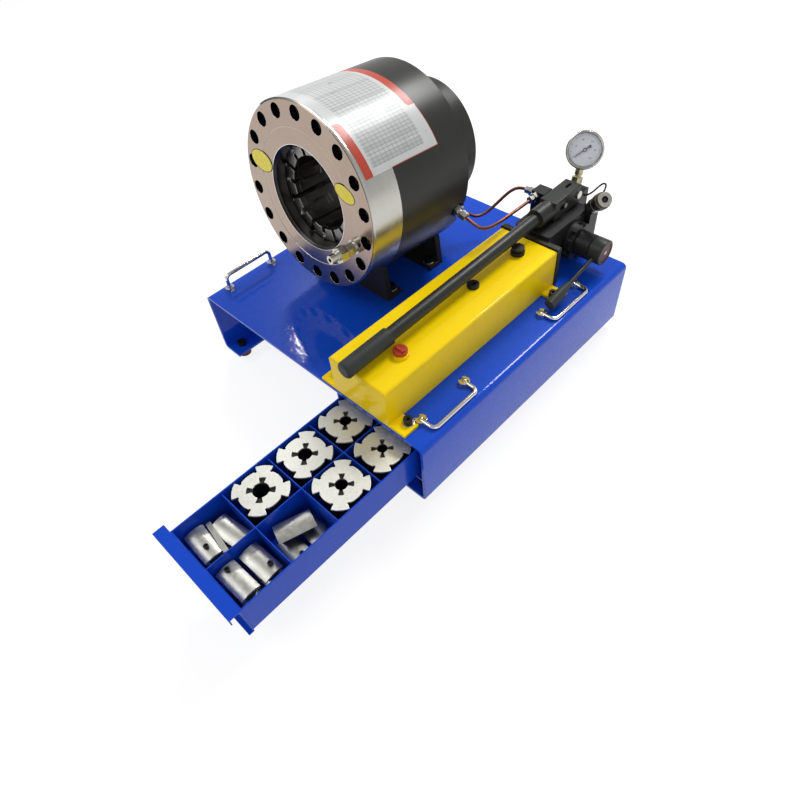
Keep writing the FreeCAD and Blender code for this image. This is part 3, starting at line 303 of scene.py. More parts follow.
metalLooks = {
    "polishedChrome": {
        "colour": (0.80, 0.80, 0.81), "deep": (0.70, 0.70, 0.72), "worn": (0.86, 0.86, 0.86),
        "edge": 0.0003, "smudgeScale": 40.0, "rough": (0.05, 0.13), "brushRough": 0.03,
        "brushBump": 0.03},
    "brightZinc": {
        "colour": (0.66, 0.65, 0.60), "deep": (0.50, 0.49, 0.44), "worn": (0.78, 0.77, 0.73),
        "edge": 0.0004, "smudgeScale": 70.0, "rough": (0.16, 0.32), "brushRough": 0.08,
        "brushBump": 0.08},
    "cageZinc": {
        "colour": (0.86, 0.86, 0.80), "deep": (0.58, 0.58, 0.53), "worn": (0.90, 0.90, 0.87),
        "edge": 0.0007, "smudgeScale": 330.0, "rough": (0.38, 0.58), "brushRough": 0.1,
        "brushBump": 0.35},
    "dieZinc": {
        "colour": (0.58, 0.575, 0.53), "deep": (0.36, 0.355, 0.32), "worn": (0.82, 0.81, 0.77),
        "edge": 0.0008, "brush": (1, 12, 12), "smudgeScale": 120.0, "rough": (0.26, 0.44),
        "brushRough": 0.1, "brushBump": 0.25},
    "stainlessCase": {
        "colour": (0.62, 0.60, 0.56), "deep": (0.48, 0.46, 0.43), "worn": (0.75, 0.74, 0.70),
        "edge": 0.0005, "brush": (1, 1, 8), "smudgeScale": 50.0, "rough": (0.14, 0.26),
        "brushRough": 0.08, "brushBump": 0.08},
    "turnedBrass": {
        "colour": (0.64, 0.56, 0.36), "deep": (0.42, 0.36, 0.22), "worn": (0.78, 0.72, 0.54),
        "edge": 0.0004, "smudgeScale": 80.0, "rough": (0.16, 0.34), "brushRough": 0.08,
        "brushBump": 0.08},
    "copperPipe": {
        "colour": (0.30, 0.125, 0.095), "deep": (0.19, 0.075, 0.058), "worn": (0.4, 0.25, 0.2),
        "edge": 0.0002, "smudgeScale": 60.0, "rough": (0.34, 0.5), "brushRough": 0.05, "brushBump": 0.05},
    "oliveSleeve": {
        "colour": (0.22, 0.20, 0.145), "deep": (0.11, 0.10, 0.07), "worn": (0.45, 0.42, 0.34),
        "edge": 0.0003, "smudgeScale": 90.0, "rough": (0.26, 0.42), "brushRough": 0.05, "brushBump": 0.1},
    "boreSteel": {
        "colour": (0.36, 0.35, 0.33), "deep": (0.20, 0.195, 0.185), "worn": (0.80, 0.78, 0.74),
        "edge": 0.0011, "brush": (1, 14, 1), "smudgeScale": 35.0, "rough": (0.2, 0.4), "brushRough": 0.1,
        "brushBump": 0.1},
}


# moulded rubber and plastic, and print
def mouldedSoft(name, look):
    material, tree, shader, place = startMaterial(name)
    cloud = addNoise(tree, place, *softGrain["cloud"])
    grain = addNoise(tree, place, look["grainScale"], *softGrain["grain"])
    rounded = addEdges(tree, look["edge"])[0]
    setShader(tree, shader, {
        "Base Color": addMix(tree, cloud, look["deep"], look["colour"]),
        "Roughness": roughRamp(tree, grain, softGrain["rough"], look),
        "Normal": addBump(tree, grain, look["grain"], softGrain["depth"], rounded),
        "Coat Weight": look.get("coat", 0.0), **softShine})
    return material


softLooks = {
    "gripRubber": {
        "colour": (0.032, 0.038, 0.033), "deep": (0.022, 0.027, 0.024), "edge": 0.001,
        "grainScale": 500.0, "grain": 0.35, "rough": (0.45, 0.62)},
    "blackRubber": {
        "colour": (0.022, 0.022, 0.022), "deep": (0.012, 0.012, 0.012), "edge": 0.0008,
        "grainScale": 500.0, "grain": 0.3, "rough": (0.42, 0.6)},
    "footRubber": {
        "colour": (0.12, 0.040, 0.030), "deep": (0.07, 0.024, 0.019), "edge": 0.0008, "grainScale": 400.0,
        "grain": 0.3, "rough": (0.4, 0.58)},
    "redPlastic": {
        "colour": (0.50, 0.055, 0.022), "deep": (0.40, 0.035, 0.014), "edge": 0.0005, "grainScale": 300.0,
        "grain": 0.08, "rough": (0.2, 0.32), "coat": 0.3},
    "dialPaper": {
        "colour": (0.85, 0.89, 0.96), "deep": (0.80, 0.84, 0.92), "edge": 0.0002, "grainScale": 900.0,
        "grain": 0.05, "rough": (0.5, 0.6)},
    "dialInk": {
        "colour": (0.012, 0.012, 0.014), "deep": (0.010, 0.010, 0.012), "edge": 0.0001,
        "grainScale": 900.0, "grain": 0.05, "rough": (0.4, 0.5)},
    "stickerYellow": {
        "colour": (0.82, 0.70, 0.03), "deep": (0.76, 0.62, 0.02), "edge": 0.0001, "grainScale": 300.0,
        "grain": 0.05, "rough": (0.24, 0.34), "coat": 0.3},
    "dieBody": {
        "colour": (0.030, 0.031, 0.031), "deep": (0.016, 0.016, 0.017), "edge": 0.0006,
        "grainScale": 380.0, "grain": 0.3, "rough": (0.34, 0.5)},
    "valveRed": {
        "colour": (0.085, 0.012, 0.010), "deep": (0.055, 0.008, 0.007), "edge": 0.0005,
        "grainScale": 300.0, "grain": 0.1, "rough": (0.34, 0.46)},
}

# the place and direction of the head, read from the frame
strokeAxis = Vector(joints["press_stroke"]["axis"]).normalized()
ringLow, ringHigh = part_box("front_ring")
headBack = -strokeAxis
headUp = Vector((0, -headBack.z, headBack.y))
headRight = Vector((1, 0, 0))
headRadius = (ringHigh.x - ringLow.x) / 2
headX = (ringHigh.x + ringLow.x) / 2


def faceCentre():
    # middle of the ring's front face, from the corner of the face that lies furthest forward
    points = [v.co for v in frame["nodes"]["front_ring"].data.vertices]
    along = min(p.dot(headBack) for p in points)
    upMiddle = (max(p.dot(headUp) for p in points) + min(p.dot(headUp) for p in points)) / 2
    return headRight * headX + headBack * along + headUp * upMiddle


headCentre = faceCentre()


def headPoint(radius, back, angle):
    a = math.radians(angle)
    return headCentre + headRight * (radius * math.cos(a)) + headUp * (radius * math.sin(a)) + headBack * back


# the warm face colours are the steel's tone with a painted reflection of a warm wall; the dark bore and hole
# colours are painted shade
ringLook = {
    "face": (0.45, 0.355, 0.295), "faceReflectionDeep": (0.34, 0.262, 0.212), "side": (0.58, 0.575, 0.535),
    "sideDeep": (0.47, 0.465, 0.43), "mouth": (0.80, 0.79, 0.76), "worn": (0.78, 0.74, 0.68),
    "paintedBoreShade": (0.11, 0.105, 0.10), "paintedHoleShade": (0.035, 0.033, 0.032), "boreRadius": 0.0824, "mouthRadius": 0.0868,
    "holeRadius": headRadius - 0.002, "faceDepth": 0.0012, "holeDepth": 0.0007, "edge": 0.0009, "turned": 0.7,
    "rough": (0.13, 0.20), "boreRough": 0.15, "broadRough": 0.1, "grooves": (1500.0, 2.0, 0.6),
    "groove": (0.12, 0.0002), "broad": (140.0, 2.0, 0.6), "smudge": (12.0, 4.0, 0.6, 0.6)}


def turnedRingSteel(name, look):
    # turned steel: fine rings round the head's axis; a painted warm reflection on the face, and painted shade
    # inside the bore and the screw holes
    material, tree, shader, place = startMaterial(name)
    times, plus, less, more = mathTools(tree, "MULTIPLY", "ADD", "LESS_THAN", "GREATER_THAN")
    centred = addMapping(tree, place, move=-headCentre)
    level = addMapping(tree, centred, turn=(-math.atan2(headBack.z, headBack.y), 0, 0))
    across, depth, up = addNode(tree, "ShaderNodeSeparateXYZ", {0: level}).outputs
    radius = addMath(tree, "SQRT", plus(times(across, across), times(up, up)))
    rings = addNode(tree, "ShaderNodeCombineXYZ", {0: radius, 1: depth}).outputs[0]
    grooves = addNoise(tree, rings, *look["grooves"])
    broad = addNoise(tree, rings, *look["broad"])
    smudge = addNoise(tree, place, *look["smudge"])
    rounded, edges = addEdges(tree, look["edge"])
    # painted shade: the bore is coloured dark, and the holes behind the face near black
    inBore = less(radius, look["boreRadius"])
    inHoleShade = times(more(depth, look["holeDepth"]), less(radius, look["holeRadius"]))
    side = addMix(tree, smudge, look["sideDeep"], look["side"])
    # the face's colour carries a painted warm reflection on top of the steel's own tone
    face = addMix(tree, smudge, look["faceReflectionDeep"], look["face"])
    colour = addMix(tree, less(depth, look["faceDepth"]), side, face)
    inMouth = less(radius, look["mouthRadius"])
    # colour layers in turn; the last two are the painted shade of the holes and the bore
    for share, layer in ((inMouth, "mouth"), (edges, "worn"), (inHoleShade, "paintedHoleShade"), (inBore, "paintedBoreShade")):
        colour = addMix(tree, share, colour, look[layer])
    rough = plus(roughRamp(tree, smudge, metalGrain["rough"], look), times(broad, look["broadRough"]))
    rough = plus(rough, times(inBore, look["boreRough"]))
    # the tool marks run round the axis, so light spreads in a fan across the face
    around = addNode(tree, "ShaderNodeVectorMath", {0: centred, 1: headBack}, operation="CROSS_PRODUCT")
    setShader(tree, shader, {
        "Base Color": colour, "Roughness": rough, "Tangent": around.outputs[0], "Metallic": 1.0,
        "Normal": addBump(tree, grooves, *look["groove"], rounded), "Anisotropic": look["turned"]})
    return material


glassLook = {"smear": (60.0, 3.0), "span": (0.3, 0.8), "rough": (0.02, 0.06)}
glassShine = {"Base Color": (0.90, 0.95, 1.0), "Metallic": 1.0, "Alpha": 0.08}


def clearGlass(name, look):
    # a thin pane: mostly see-through, with a mirror's share of reflection
    material, tree, shader, place = startMaterial(name)
    smear = roughRamp(tree, addNoise(tree, place, *look["smear"]), look["span"], look)
    setShader(tree, shader, {"Roughness": smear, **glassShine})
    return material


# printed sheet: red bands with rounded ends and an empty ruled table, on the sheet's own UV map in metres
sheetLook = {
    "paper": (0.56, 0.57, 0.565), "paperDeep": (0.50, 0.51, 0.505), "band": (0.44, 0.055, 0.030),
    "ink": (0.24, 0.25, 0.26), "row": 0.0056, "column": 0.0088, "line": 0.0008, "tableLow": (0.010, 0.021),
    "tableHigh": (0.250, 0.128), "bandWidth": 0.0150, "bandCorner": 0.006, "frontBandEnd": 0.0875,
    "rearBandStart": 0.0690, "hairline": 0.0011, "lowerLineStart": 0.053, "rearLineEnd": 0.067,
    "rowShade": [(0.35, 0.08), (0.9, 0.42)], "cloud": (40.0, 3.0), "span": (0.3, 0.7), "rough": (0.26, 0.38),
    "wave": (60.0, 2.0), "waveBump": (0.10, 0.0006)}


def printedSheet(name, look):
    material, tree, shader, place = startMaterial(name)
    times, plus, minus, less, more, larger = mathTools(
        tree, "MULTIPLY", "ADD", "SUBTRACT", "LESS_THAN", "GREATER_THAN", "MAXIMUM")
    sheetPlace = addNode(tree, "ShaderNodeUVMap", uv_map="sheetMap").outputs[0]
    along, back = addNode(tree, "ShaderNodeSeparateXYZ", {0: sheetPlace}).outputs[:2]
    gap = addNode(tree, "ShaderNodeAttribute", attribute_name="rearGap").outputs["Fac"]

    def corner(first, second):
        # 1 where both distances are positive, with the corner between them rounded
        one, two = (larger(minus(look["bandCorner"], distance), 0.0) for distance in (first, second))
        return less(addMath(tree, "SQRT", plus(times(one, one), times(two, two))), look["bandCorner"])

    def lines(distance, pitch):
        return less(addMath(tree, "FRACT", addMath(tree, "DIVIDE", distance, pitch)), look["line"] / pitch)

    frontBand = corner(minus(look["frontBandEnd"], along), minus(look["bandWidth"], back))
    rearBand = corner(minus(along, look["rearBandStart"]), minus(look["bandWidth"], gap))
    lowerLine = times(less(along, look["hairline"]), more(back, look["lowerLineStart"]))
    rearLine = times(less(gap, look["hairline"]), less(along, look["rearLineEnd"]))
    red = larger(larger(frontBand, rearBand), larger(lowerLine, rearLine))
    inside = 1.0
    for distance, low, high in zip((along, back), look["tableLow"], look["tableHigh"]):
        inside = times(inside, times(more(distance, low), less(distance, high)))
    rowNumber = addMath(tree, "FLOOR", addMath(tree, "DIVIDE", along, look["row"]))
    shade = addNode(tree, "ShaderNodeTexWhiteNoise", noise_dimensions="1D")
    plug(tree, rowNumber, shade.inputs["W"])
    tint = times(addRamp(tree, shade.outputs[0], look["rowShade"]), inside)
    ruled = times(larger(lines(along, look["row"]), lines(back, look["column"])), inside)
    cloud = addNoise(tree, place, *look["cloud"])
    colour = addMix(tree, cloud, look["paperDeep"], look["paper"])
    for share, layer in ((tint, "ink"), (ruled, "ink"), (red, "band")):
        colour = addMix(tree, share, colour, look[layer])
    setShader(tree, shader, {
        "Base Color": colour, "Roughness": roughRamp(tree, cloud, look["span"], look),
        "Normal": addBump(tree, addNoise(tree, place, *look["wave"]), *look["waveBump"]), **sheetShine})
    return material


makers = {powderCoat: powderLooks, satinPaint: satinLooks, bareMetal: metalLooks, mouldedSoft: softLooks}
materials = {name: make(name, look) for make, looks in makers.items() for name, look in looks.items()}
materials["turnedRing"] = turnedRingSteel("turnedRing", ringLook)
materials["gaugeGlass"] = clearGlass("gaugeGlass", glassLook)
materials["sheetPrint"] = printedSheet("sheetPrint", sheetLook)
print("materials made:", len(materials))

# the nodes that get each finish; those not named here are made anew further down
finishNodes = {
    "bluePowder": "table",
    "drawerPowder": "drawer_runners drawer_tray drawer_front drawer_dividers",
    "yellowPowder": "oil_tank",
    "bodyBlack": "saddle_legs cylinder_body rear_cover tank_end_plate",
    "castBlack": "breather_knob tank_plug pump_body valve_collar valve_body",
    "oxideBlack": "foot_bolts leg_bolts cover_screws tank_bolts die_rings",
    "greySteel": "lever_head lever_tube valve_cap release_rod",
    "boreSteel": " ".join(["piston"] + ["die_shoe_%d" % number for number in range(1, 9)]),
    "turnedRing": "front_ring",
    "brightZinc": "face_fitting port_fittings pivot_pin pump_plunger coupler_body",
    "cageZinc": "die_cages",
    "dieZinc": "loose_dies",
    "turnedBrass": "gauge_adapter",
    "oliveSleeve": "coupler_sleeve",
    "polishedChrome":
        "handle_collars handle_front_left handle_rear_left handle_front_right handle_rear_right",
    "gripRubber": "lever_grip release_grip",
    "blackRubber": "piston_seals",
    "footRubber": "rubber_feet",
    "redPlastic": "filler_cap",
    "dialPaper": "gauge_dial",
    "dialInk": "gauge_needle",
}
seamAngle = math.radians(32)
mergeDistance = 1e-6


def smoothMesh(mesh, turnOut):
    # merged corners and smooth shading with sharp seams; turnOut also points the faces outwards
    work = bmesh.new()
    work.from_mesh(mesh)
    bmesh.ops.remove_doubles(work, verts=work.verts, dist=mergeDistance)
    if turnOut:
        bmesh.ops.recalc_face_normals(work, faces=work.faces)
    work.to_mesh(mesh)
    work.free()
    mesh.shade_smooth()
    mesh.set_sharp_from_angle(angle=seamAngle)


def showPiece(name, mesh, finishes, home):
    # home is the node whose body the piece rides on
    for finish in finishes:
        mesh.materials.append(materials[finish])
    piece = linkObject(name, mesh)
    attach(piece, bodyOf[home])
    return piece


def dressNode(nodeName, finish):
    # a merged copy with smooth shading stands for the node, whose own mesh is loose triangles
    mesh = frame["nodes"][nodeName].data.copy()
    for layer in ("custom_normal", "sharp_edge", "sharp_face"):
        if layer in mesh.attributes:
            mesh.attributes.remove(mesh.attributes[layer])
    smoothMesh(mesh, turnOut=False)
    mesh.materials.clear()
    piece = showPiece(nodeName + "Piece", mesh, [finish], nodeName)
    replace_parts(piece, nodeName)
    return piece


pieces = {nodeName: dressNode(nodeName, finish)
          for finish, nodeNames in finishNodes.items() for nodeName in nodeNames.split()}
print("nodes dressed:", len(pieces))


# geometry trees for what repeats: copies on a circle, and copies at given points
def startTree(name, inputs):
    tree = bpy.data.node_groups.new(name, "GeometryNodeTree")
    for label, kind in inputs.items():
        tree.interface.new_socket(name=label, in_out="INPUT", socket_type="NodeSocket" + kind)
    tree.interface.new_socket(name="Geometry", in_out="OUTPUT", socket_type="NodeSocketGeometry")
    return tree, addNode(tree, "NodeGroupInput").outputs


def endTree(tree, given, points, turn):
    # real faces with a finish of their own, because instances don't leave the scene
    shape = addNode(tree, "GeometryNodeObjectInfo", {"Object": given["Copy"]}).outputs["Geometry"]
    copies = addNode(tree, "GeometryNodeInstanceOnPoints", {
        "Points": points, "Instance": shape, "Rotation": turn}).outputs[0]
    real = addNode(tree, "GeometryNodeRealizeInstances", {0: copies}).outputs[0]
    finish = addNode(tree, "GeometryNodeSetMaterial", {"Geometry": real, "Material": given["Material"]})
    addNode(tree, "NodeGroupOutput", {0: finish.outputs[0]})


def turnAboutZ(tree, angle):
    euler = addNode(tree, "ShaderNodeCombineXYZ", {2: angle})
    return addNode(tree, "FunctionNodeEulerToRotation", {0: euler.outputs[0]}).outputs[0]


def makeCircleTree():
    tree, given = startTree("copiesOnCircle", {
        "Copy": "Object", "Count": "Int", "Radius": "Float", "First Angle": "Float", "Step": "Float",
        "Material": "Material"})
    times, plus = mathTools(tree, "MULTIPLY", "ADD")
    index = addNode(tree, "GeometryNodeInputIndex").outputs[0]
    angle = plus(times(index, given["Step"]), given["First Angle"])
    across = times(addMath(tree, "COSINE", angle), given["Radius"])
    along = times(addMath(tree, "SINE", angle), given["Radius"])
    place = addNode(tree, "ShaderNodeCombineXYZ", {0: across, 1: along}).outputs[0]
    points = addNode(tree, "GeometryNodePoints", {"Count": given["Count"]}).outputs[0]
    placed = addNode(tree, "GeometryNodeSetPosition", {"Geometry": points, "Position": place})
    endTree(tree, given, placed.outputs[0], turnAboutZ(tree, angle))
    return tree


def makePointsTree():
    tree, given = startTree("copiesAtPoints", {
        "Geometry": "Geometry", "Copy": "Object", "Turn": "Float", "Seed": "Int", "Material": "Material"})
    aim = addNode(tree, "GeometryNodeInputNamedAttribute", {"Name": "aim"}, data_type="FLOAT_VECTOR")
    aligned = addNode(tree, "FunctionNodeAlignRotationToVector", {"Vector": aim.outputs[0]}, axis="Z")
    limits = {2: 0.0, 3: given["Turn"], "Seed": given["Seed"]}
    spin = turnAboutZ(tree, addNode(tree, "FunctionNodeRandomValue", limits, data_type="FLOAT").outputs[1])
    turns = {0: aligned.outputs[0], 1: spin}
    turned = addNode(tree, "FunctionNodeRotateRotation", turns, rotation_space="LOCAL")
    endTree(tree, given, given["Geometry"], turned.outputs[0])
    return tree


circleTree = makeCircleTree()
pointsTree = makePointsTree()


def plainMesh(carrier):
    # the evaluated shape of an object as a plain mesh
    bpy.context.view_layer.update()
    graph = bpy.context.evaluated_depsgraph_get()
    return bpy.data.meshes.new_from_object(carrier.evaluated_get(graph), depsgraph=graph)


def curveMesh(curve):
    carrier = linkObject("carrier", curve)
    mesh = plainMesh(carrier)
    bpy.data.objects.remove(carrier)
    return mesh


def growMesh(tree, copyMesh, values, seedMesh=None):
    # runs a tree once and returns its result as a plain mesh
    shape = linkObject("shape", copyMesh)
    carrier = linkObject("carrier", seedMesh or bpy.data.meshes.new("seed"))
    modifier = carrier.modifiers.new("grow", "NODES")
    modifier.node_group = tree
    values = {"Copy": shape, **values}
    for socket in tree.interface.items_tree:
        if socket.in_out == "INPUT" and socket.name in values:
            modifier[socket.identifier] = values[socket.name]
    mesh = plainMesh(carrier)
    carrier.modifiers.remove(modifier)
    bpy.data.objects.remove(carrier)
    bpy.data.objects.remove(shape)
    return mesh


def finishPiece(name, mesh, finishes, home, place=None):
    if place is not None:
        mesh.transform(place)
    smoothMesh(mesh, turnOut=True)
    return showPiece(name, mesh, finishes, home)


def hexRow(acrossFlats):
    # a row of turnedMesh with six sides
    return lambda angle: acrossFlats / 2 / math.cos((angle + math.pi / 6) % (math.pi / 3) - math.pi / 6)


def turnedMesh(rows, steps=48, closedRing=False):
    # rows are (radius, height) pairs turned round Z; a radius of 0 closes an end
    points, rings, faces = [], [], []
    for radius, height in rows:
        first = len(points)
        if radius == 0.0:
            points.append((0.0, 0.0, height))
            rings.append([first] * steps)
            continue
        rings.append(list(range(first, first + steps)))
        for k in range(steps):
            angle = 2 * math.pi * k / steps
            reach = radius(angle) if callable(radius) else radius
            points.append((reach * math.cos(angle), reach * math.sin(angle), height))
    for low, high in list(zip(rings, rings[1:])) + ([(rings[-1], rings[0])] if closedRing else []):
        for k in range(steps):
            after = (k + 1) % steps
            corners = list(dict.fromkeys((low[k], low[after], high[after], high[k])))
            if len(corners) > 2:
                faces.append(corners)
    mesh = bpy.data.meshes.new("turned")
    mesh.from_pydata(points, [], faces)
    return mesh


def meshOf(work, name):
    mesh = bpy.data.meshes.new(name)
    work.to_mesh(mesh)
    work.free()
    return mesh


def boxMesh(low, high):
    work = bmesh.new()
    bmesh.ops.create_cube(work, size=1.0)
    middle = (Vector(low) + Vector(high)) / 2
    span = Vector(high) - Vector(low)
    for vert in work.verts:
        vert.co = middle + Vector(c * s for c, s in zip(vert.co, span))
    return meshOf(work, "block")


def socketScrew(look):
    # chamfered cap head with a hexagon socket, top of the head at height 0
    radius, tall, edge = look["headRadius"], look["headHeight"], look["headRadius"] * 0.09
    socket, deep, shank = hexRow(look["acrossFlats"]), look["headHeight"] * 0.5, look["shankRadius"]
    return turnedMesh([
        (0.0, -look["length"]), (shank, -look["length"]), (shank, -tall), (radius, -tall), (radius, -edge),
        (radius - edge, 0.0), (socket, 0.0), (socket, -deep), (0.0, -deep)])


def discMesh(radius, low, high, edge):
    # a disc with a bevel round its upper face
    rows = [(0.0, low), (radius, low), (radius, high - edge), (radius - edge, high), (0.0, high)]
    return turnedMesh(rows, steps=64)


# places read from the frame: solids of a node along an axis, and the end of a round node
def outerEnd(points, axis):
    # axes with Z outward, the extents along them and the middle of the outer end
    turn = Vector(axis).normalized().to_track_quat("Z", "Y").to_matrix()
    spans = [(min(p.dot(d) for p in points), max(p.dot(d) for p in points)) for d in turn.col]
    middles = [d * (low + high) / 2 for d, (low, high) in zip(turn.col[:2], spans)]
    return turn, spans, middles[0] + middles[1] + turn.col[2] * spans[2][1]


def solidPlaces(nodeName, axis):
    work = bmesh.new()
    work.from_mesh(frame["nodes"][nodeName].data)
    bmesh.ops.remove_doubles(work, verts=work.verts, dist=mergeDistance)
    for vert in work.verts:
        vert.tag = False
    places = []
    for first in work.verts:
        if first.tag:
            continue
        first.tag = True
        front, solid = [first], []
        while front:
            vert = front.pop()
            solid.append(vert.co.copy())
            for edge in vert.link_edges:
                other = edge.other_vert(vert)
                if not other.tag:
                    other.tag = True
                    front.append(other)
        spans, centre = outerEnd(solid, axis)[1:]
        wide, long = (high - low for low, high in (spans[0], spans[2]))
        places.append({"centre": centre, "radius": wide / 2, "length": long, "points": solid})
    work.free()
    return sorted(places, key=lambda p: tuple(round(c, 4) for c in p["centre"]))


def endPlace(nodeName, axis):
    # matrix at the outer end of a round node, with Z along the axis
    turn, _, centre = outerEnd([v.co for v in frame["nodes"][nodeName].data.vertices], axis)
    return Matrix.Translation(centre) @ turn.to_4x4()


def growAtPoints(name, copyMesh, centres, axis, finish, home, seed=1):
    seedMesh = bpy.data.meshes.new(name + "Points")
    seedMesh.from_pydata([tuple(c) for c in centres], [], [])
    aim = seedMesh.attributes.new("aim", "FLOAT_VECTOR", "POINT")
    for item in aim.data:
        item.vector = Vector(axis).normalized()
    values = {"Turn": 2 * math.pi, "Seed": seed, "Material": materials[finish]}
    return finishPiece(name, growMesh(pointsTree, copyMesh, values, seedMesh), (), home)


def growOnCircle(name, copyMesh, look, finish, home, place):
    values = {
        "Count": look["count"], "Radius": look["radius"], "First Angle": math.radians(look.get("first", 0.0)),
        "Step": math.radians(look.get("step", 360.0 / look["count"])), "Material": materials[finish]}
    return finishPiece(name, growMesh(circleTree, copyMesh, values), (), home, place)


def growRibs(name, look, finish, home, axis):
    # straight ribs round the outer end of a node
    half = look["rib"]
    rib = boxMesh((-half, -half, look["low"]), (half * look["proud"], half, look["high"]))
    growOnCircle(name, rib, look, finish, home, endPlace(home, axis))


# screws and washers
ringScrew = {
    "headRadius": 0.0105, "headHeight": 0.016, "acrossFlats": 0.012, "shankRadius": 0.007, "length": 0.062}
centres = [p["centre"] for p in solidPlaces("ring_screws", strokeAxis)]
screw = socketScrew(ringScrew)
screws = growAtPoints("ringScrewSet", screw, centres, strokeAxis, "oxideBlack", "ring_screws", seed=3)
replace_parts(screws, "ring_screws")

washers = {"thick": 0.0012, "clear": 0.001, "headHeight": 0.009, "shortest": 0.015}
for nodeName, pieceName, wide in (("tank_bolts", "tankWashers", 0.0022), ("leg_bolts", "legWashers", 0.0020)):
    bolts = [p for p in solidPlaces(nodeName, (0, 0, 1)) if p["length"] > washers["shortest"]]
    inner, outer, thick = bolts[0]["radius"] - washers["clear"], bolts[0]["radius"] + wide, washers["thick"]
    edge = thick * 0.3
    rows = [(inner, 0.0), (outer, 0.0), (outer, thick - edge), (outer - edge, thick), (inner, thick)]
    washer = turnedMesh(rows, closedRing=True)
    centres = [p["centre"] - Vector((0, 0, washers["headHeight"])) for p in bolts]
    growAtPoints(pieceName, washer, centres, (0, 0, 1), "brightZinc", nodeName)
print("screws and washers grown")


# loose dies: zinc plates on black bodies, told apart by the distance from each die's own arch axis
looseDies = {
    "archInner": 0.016, "archHalfAngle": 22.0, "plateInner": 0.0317, "bodyHalf": 0.0251, "slack": 1e-5}
dieSolids = sorted(solidPlaces("loose_dies", (0, 0, 1)), key=lambda s: round(s["centre"].x, 4))


def dieFrame(points):
    # middle of the crown line, its direction and the height of the arch's axis
    low, high = min(p.z for p in points), max(p.z for p in points)
    crown = [p for p in points if p.z > high - 2 * looseDies["slack"]]
    start, end = min(crown, key=lambda p: p.x), max(crown, key=lambda p: p.x)
    axisHeight = low - looseDies["archInner"] * math.cos(math.radians(looseDies["archHalfAngle"]))
    return (start + end) / 2, (end - start).normalized(), axisHeight


def paintLooseDies(mesh):
    mesh.materials.append(materials["dieBody"])
    slack = Vector((looseDies["slack"],) * 3)
    dies = []
    for solid in dieSolids:
        low = Vector([min(p[i] for p in solid["points"]) for i in range(3)]) - slack
        high = Vector([max(p[i] for p in solid["points"]) for i in range(3)]) + slack
        dies.append((low, high, dieFrame(solid["points"])))
    for face in mesh.polygons:
        for low, high, (middle, along, axisHeight) in dies:
            if all(low[i] < face.center[i] < high[i] for i in range(3)):
                offset = face.center - Vector((middle.x, middle.y, axisHeight))
                reach = offset.dot(along)
                beyondArch = (offset - along * reach).length > looseDies["plateInner"]
                face.material_index = 0 if beyondArch or abs(reach) > looseDies["bodyHalf"] else 1
                break


paintLooseDies(pieces["loose_dies"].data)

# small cap screws that stand on the dies: number of the die from the left, place along it and across it
dieScrew = {
    "headRadius": 0.0040, "headHeight": 0.0052, "acrossFlats": 0.0042, "shankRadius": 0.0025,
    "length": 0.0060, "standing": 0.0046,
    "places": [(0, 0.0095, 0.0), (5, -0.020, 0.0), (6, 0.015, 0.006), (10, 0.011, 0.002)]}


def screwSpots():
    spots = []
    for number, along, across in dieScrew["places"]:
        middle, way, axisHeight = dieFrame(dieSolids[number]["points"])
        radius = middle.z - axisHeight
        height = axisHeight + math.sqrt(radius ** 2 - across ** 2) + dieScrew["standing"]
        sideways = Vector((-way.y, way.x, 0.0))
        spots.append(Vector((middle.x, middle.y, height)) + way * along + sideways * across)
    return spots


screw = socketScrew(dieScrew)
growAtPoints("dieScrewSet", screw, screwSpots(), (0, 0, 1), "oxideBlack", "loose_dies", seed=5)

# thin zinc strip that lies in the valley between the two upper dies of the front cell
zincStrip = {"length": 0.058, "wide": 0.0075, "thick": 0.0022, "turn": -8.0, "below": 0.0018}
frontDie, rearDie = dieFrame(dieSolids[0]["points"])[0], dieFrame(dieSolids[3]["points"])[0]
stripHalf = (zincStrip["length"] / 2, zincStrip["wide"] / 2, zincStrip["thick"] / 2)
stripPlace = (Matrix.Translation((frontDie + rearDie) / 2 - Vector((0, 0, zincStrip["below"])))
              @ Matrix.Rotation(math.radians(zincStrip["turn"]), 4, "Z"))
finishPiece("zincStrip", boxMesh([-h for h in stripHalf], stripHalf), ["dieZinc"], "loose_dies", stripPlace)
print("drawer filled")

# gauge: polished housing, glass, scale and numbers, all set out from the needle's hinge
needleJoint = joints["needle_turn"]
dialOut = -Vector(needleJoint["axis"]).normalized()
hub = Vector(needleJoint["pos_m"])
# corners of the bezel lie inward from the outer radius, those of the mouth outward from the opening, and both
# back from the front
gauge = {
    "outer": 0.033, "side": 0.031, "opening": 0.028, "lip": 0.0082, "recess": 0.010, "dialThick": 0.001,
    "backEdge": 0.002, "mouth": ((0.0010, 0.0010), (0.0, 0.0026)), "bezel": (
        (0.0004, 0.0074), (0.0, 0.0066), (0.0, 0.0024), (0.0006, 0.0010), (0.0018, 0.0002), (0.0028, 0.0)),
    "scaleSweep": 270.0, "minorTicks": (0.00022, 0.0015, 51), "majorTicks": (0.00045, 0.0030, 11),
    "tickRing": 0.0245, "numberRing": 0.0172, "numbers": 6, "numberStep": 20, "numberSize": 0.0040,
    "glassThick": 0.0014, "glassBack": 0.0042, "glassGap": 0.0001, "ink": 0.00012}


def gaugeLevel(nodeName, pick):
    return pick((v.co - hub).dot(dialOut) for v in frame["nodes"][nodeName].data.vertices)


def dialPlace(level):
    # matrix on the gauge's axis at a level, Z towards the reader and Y towards the top of the scale
    tip = max((v.co for v in frame["nodes"]["gauge_needle"].data.vertices), key=lambda p: (p - hub).length)
    low = tip - hub - dialOut * (tip - hub).dot(dialOut)
    top = Matrix.Rotation(math.radians(-gauge["scaleSweep"] / 2), 3, dialOut) @ low.normalized()
    turn = Matrix((top.cross(dialOut), top, dialOut)).transposed()
    return Matrix.Translation(hub + dialOut * level) @ turn.to_4x4()


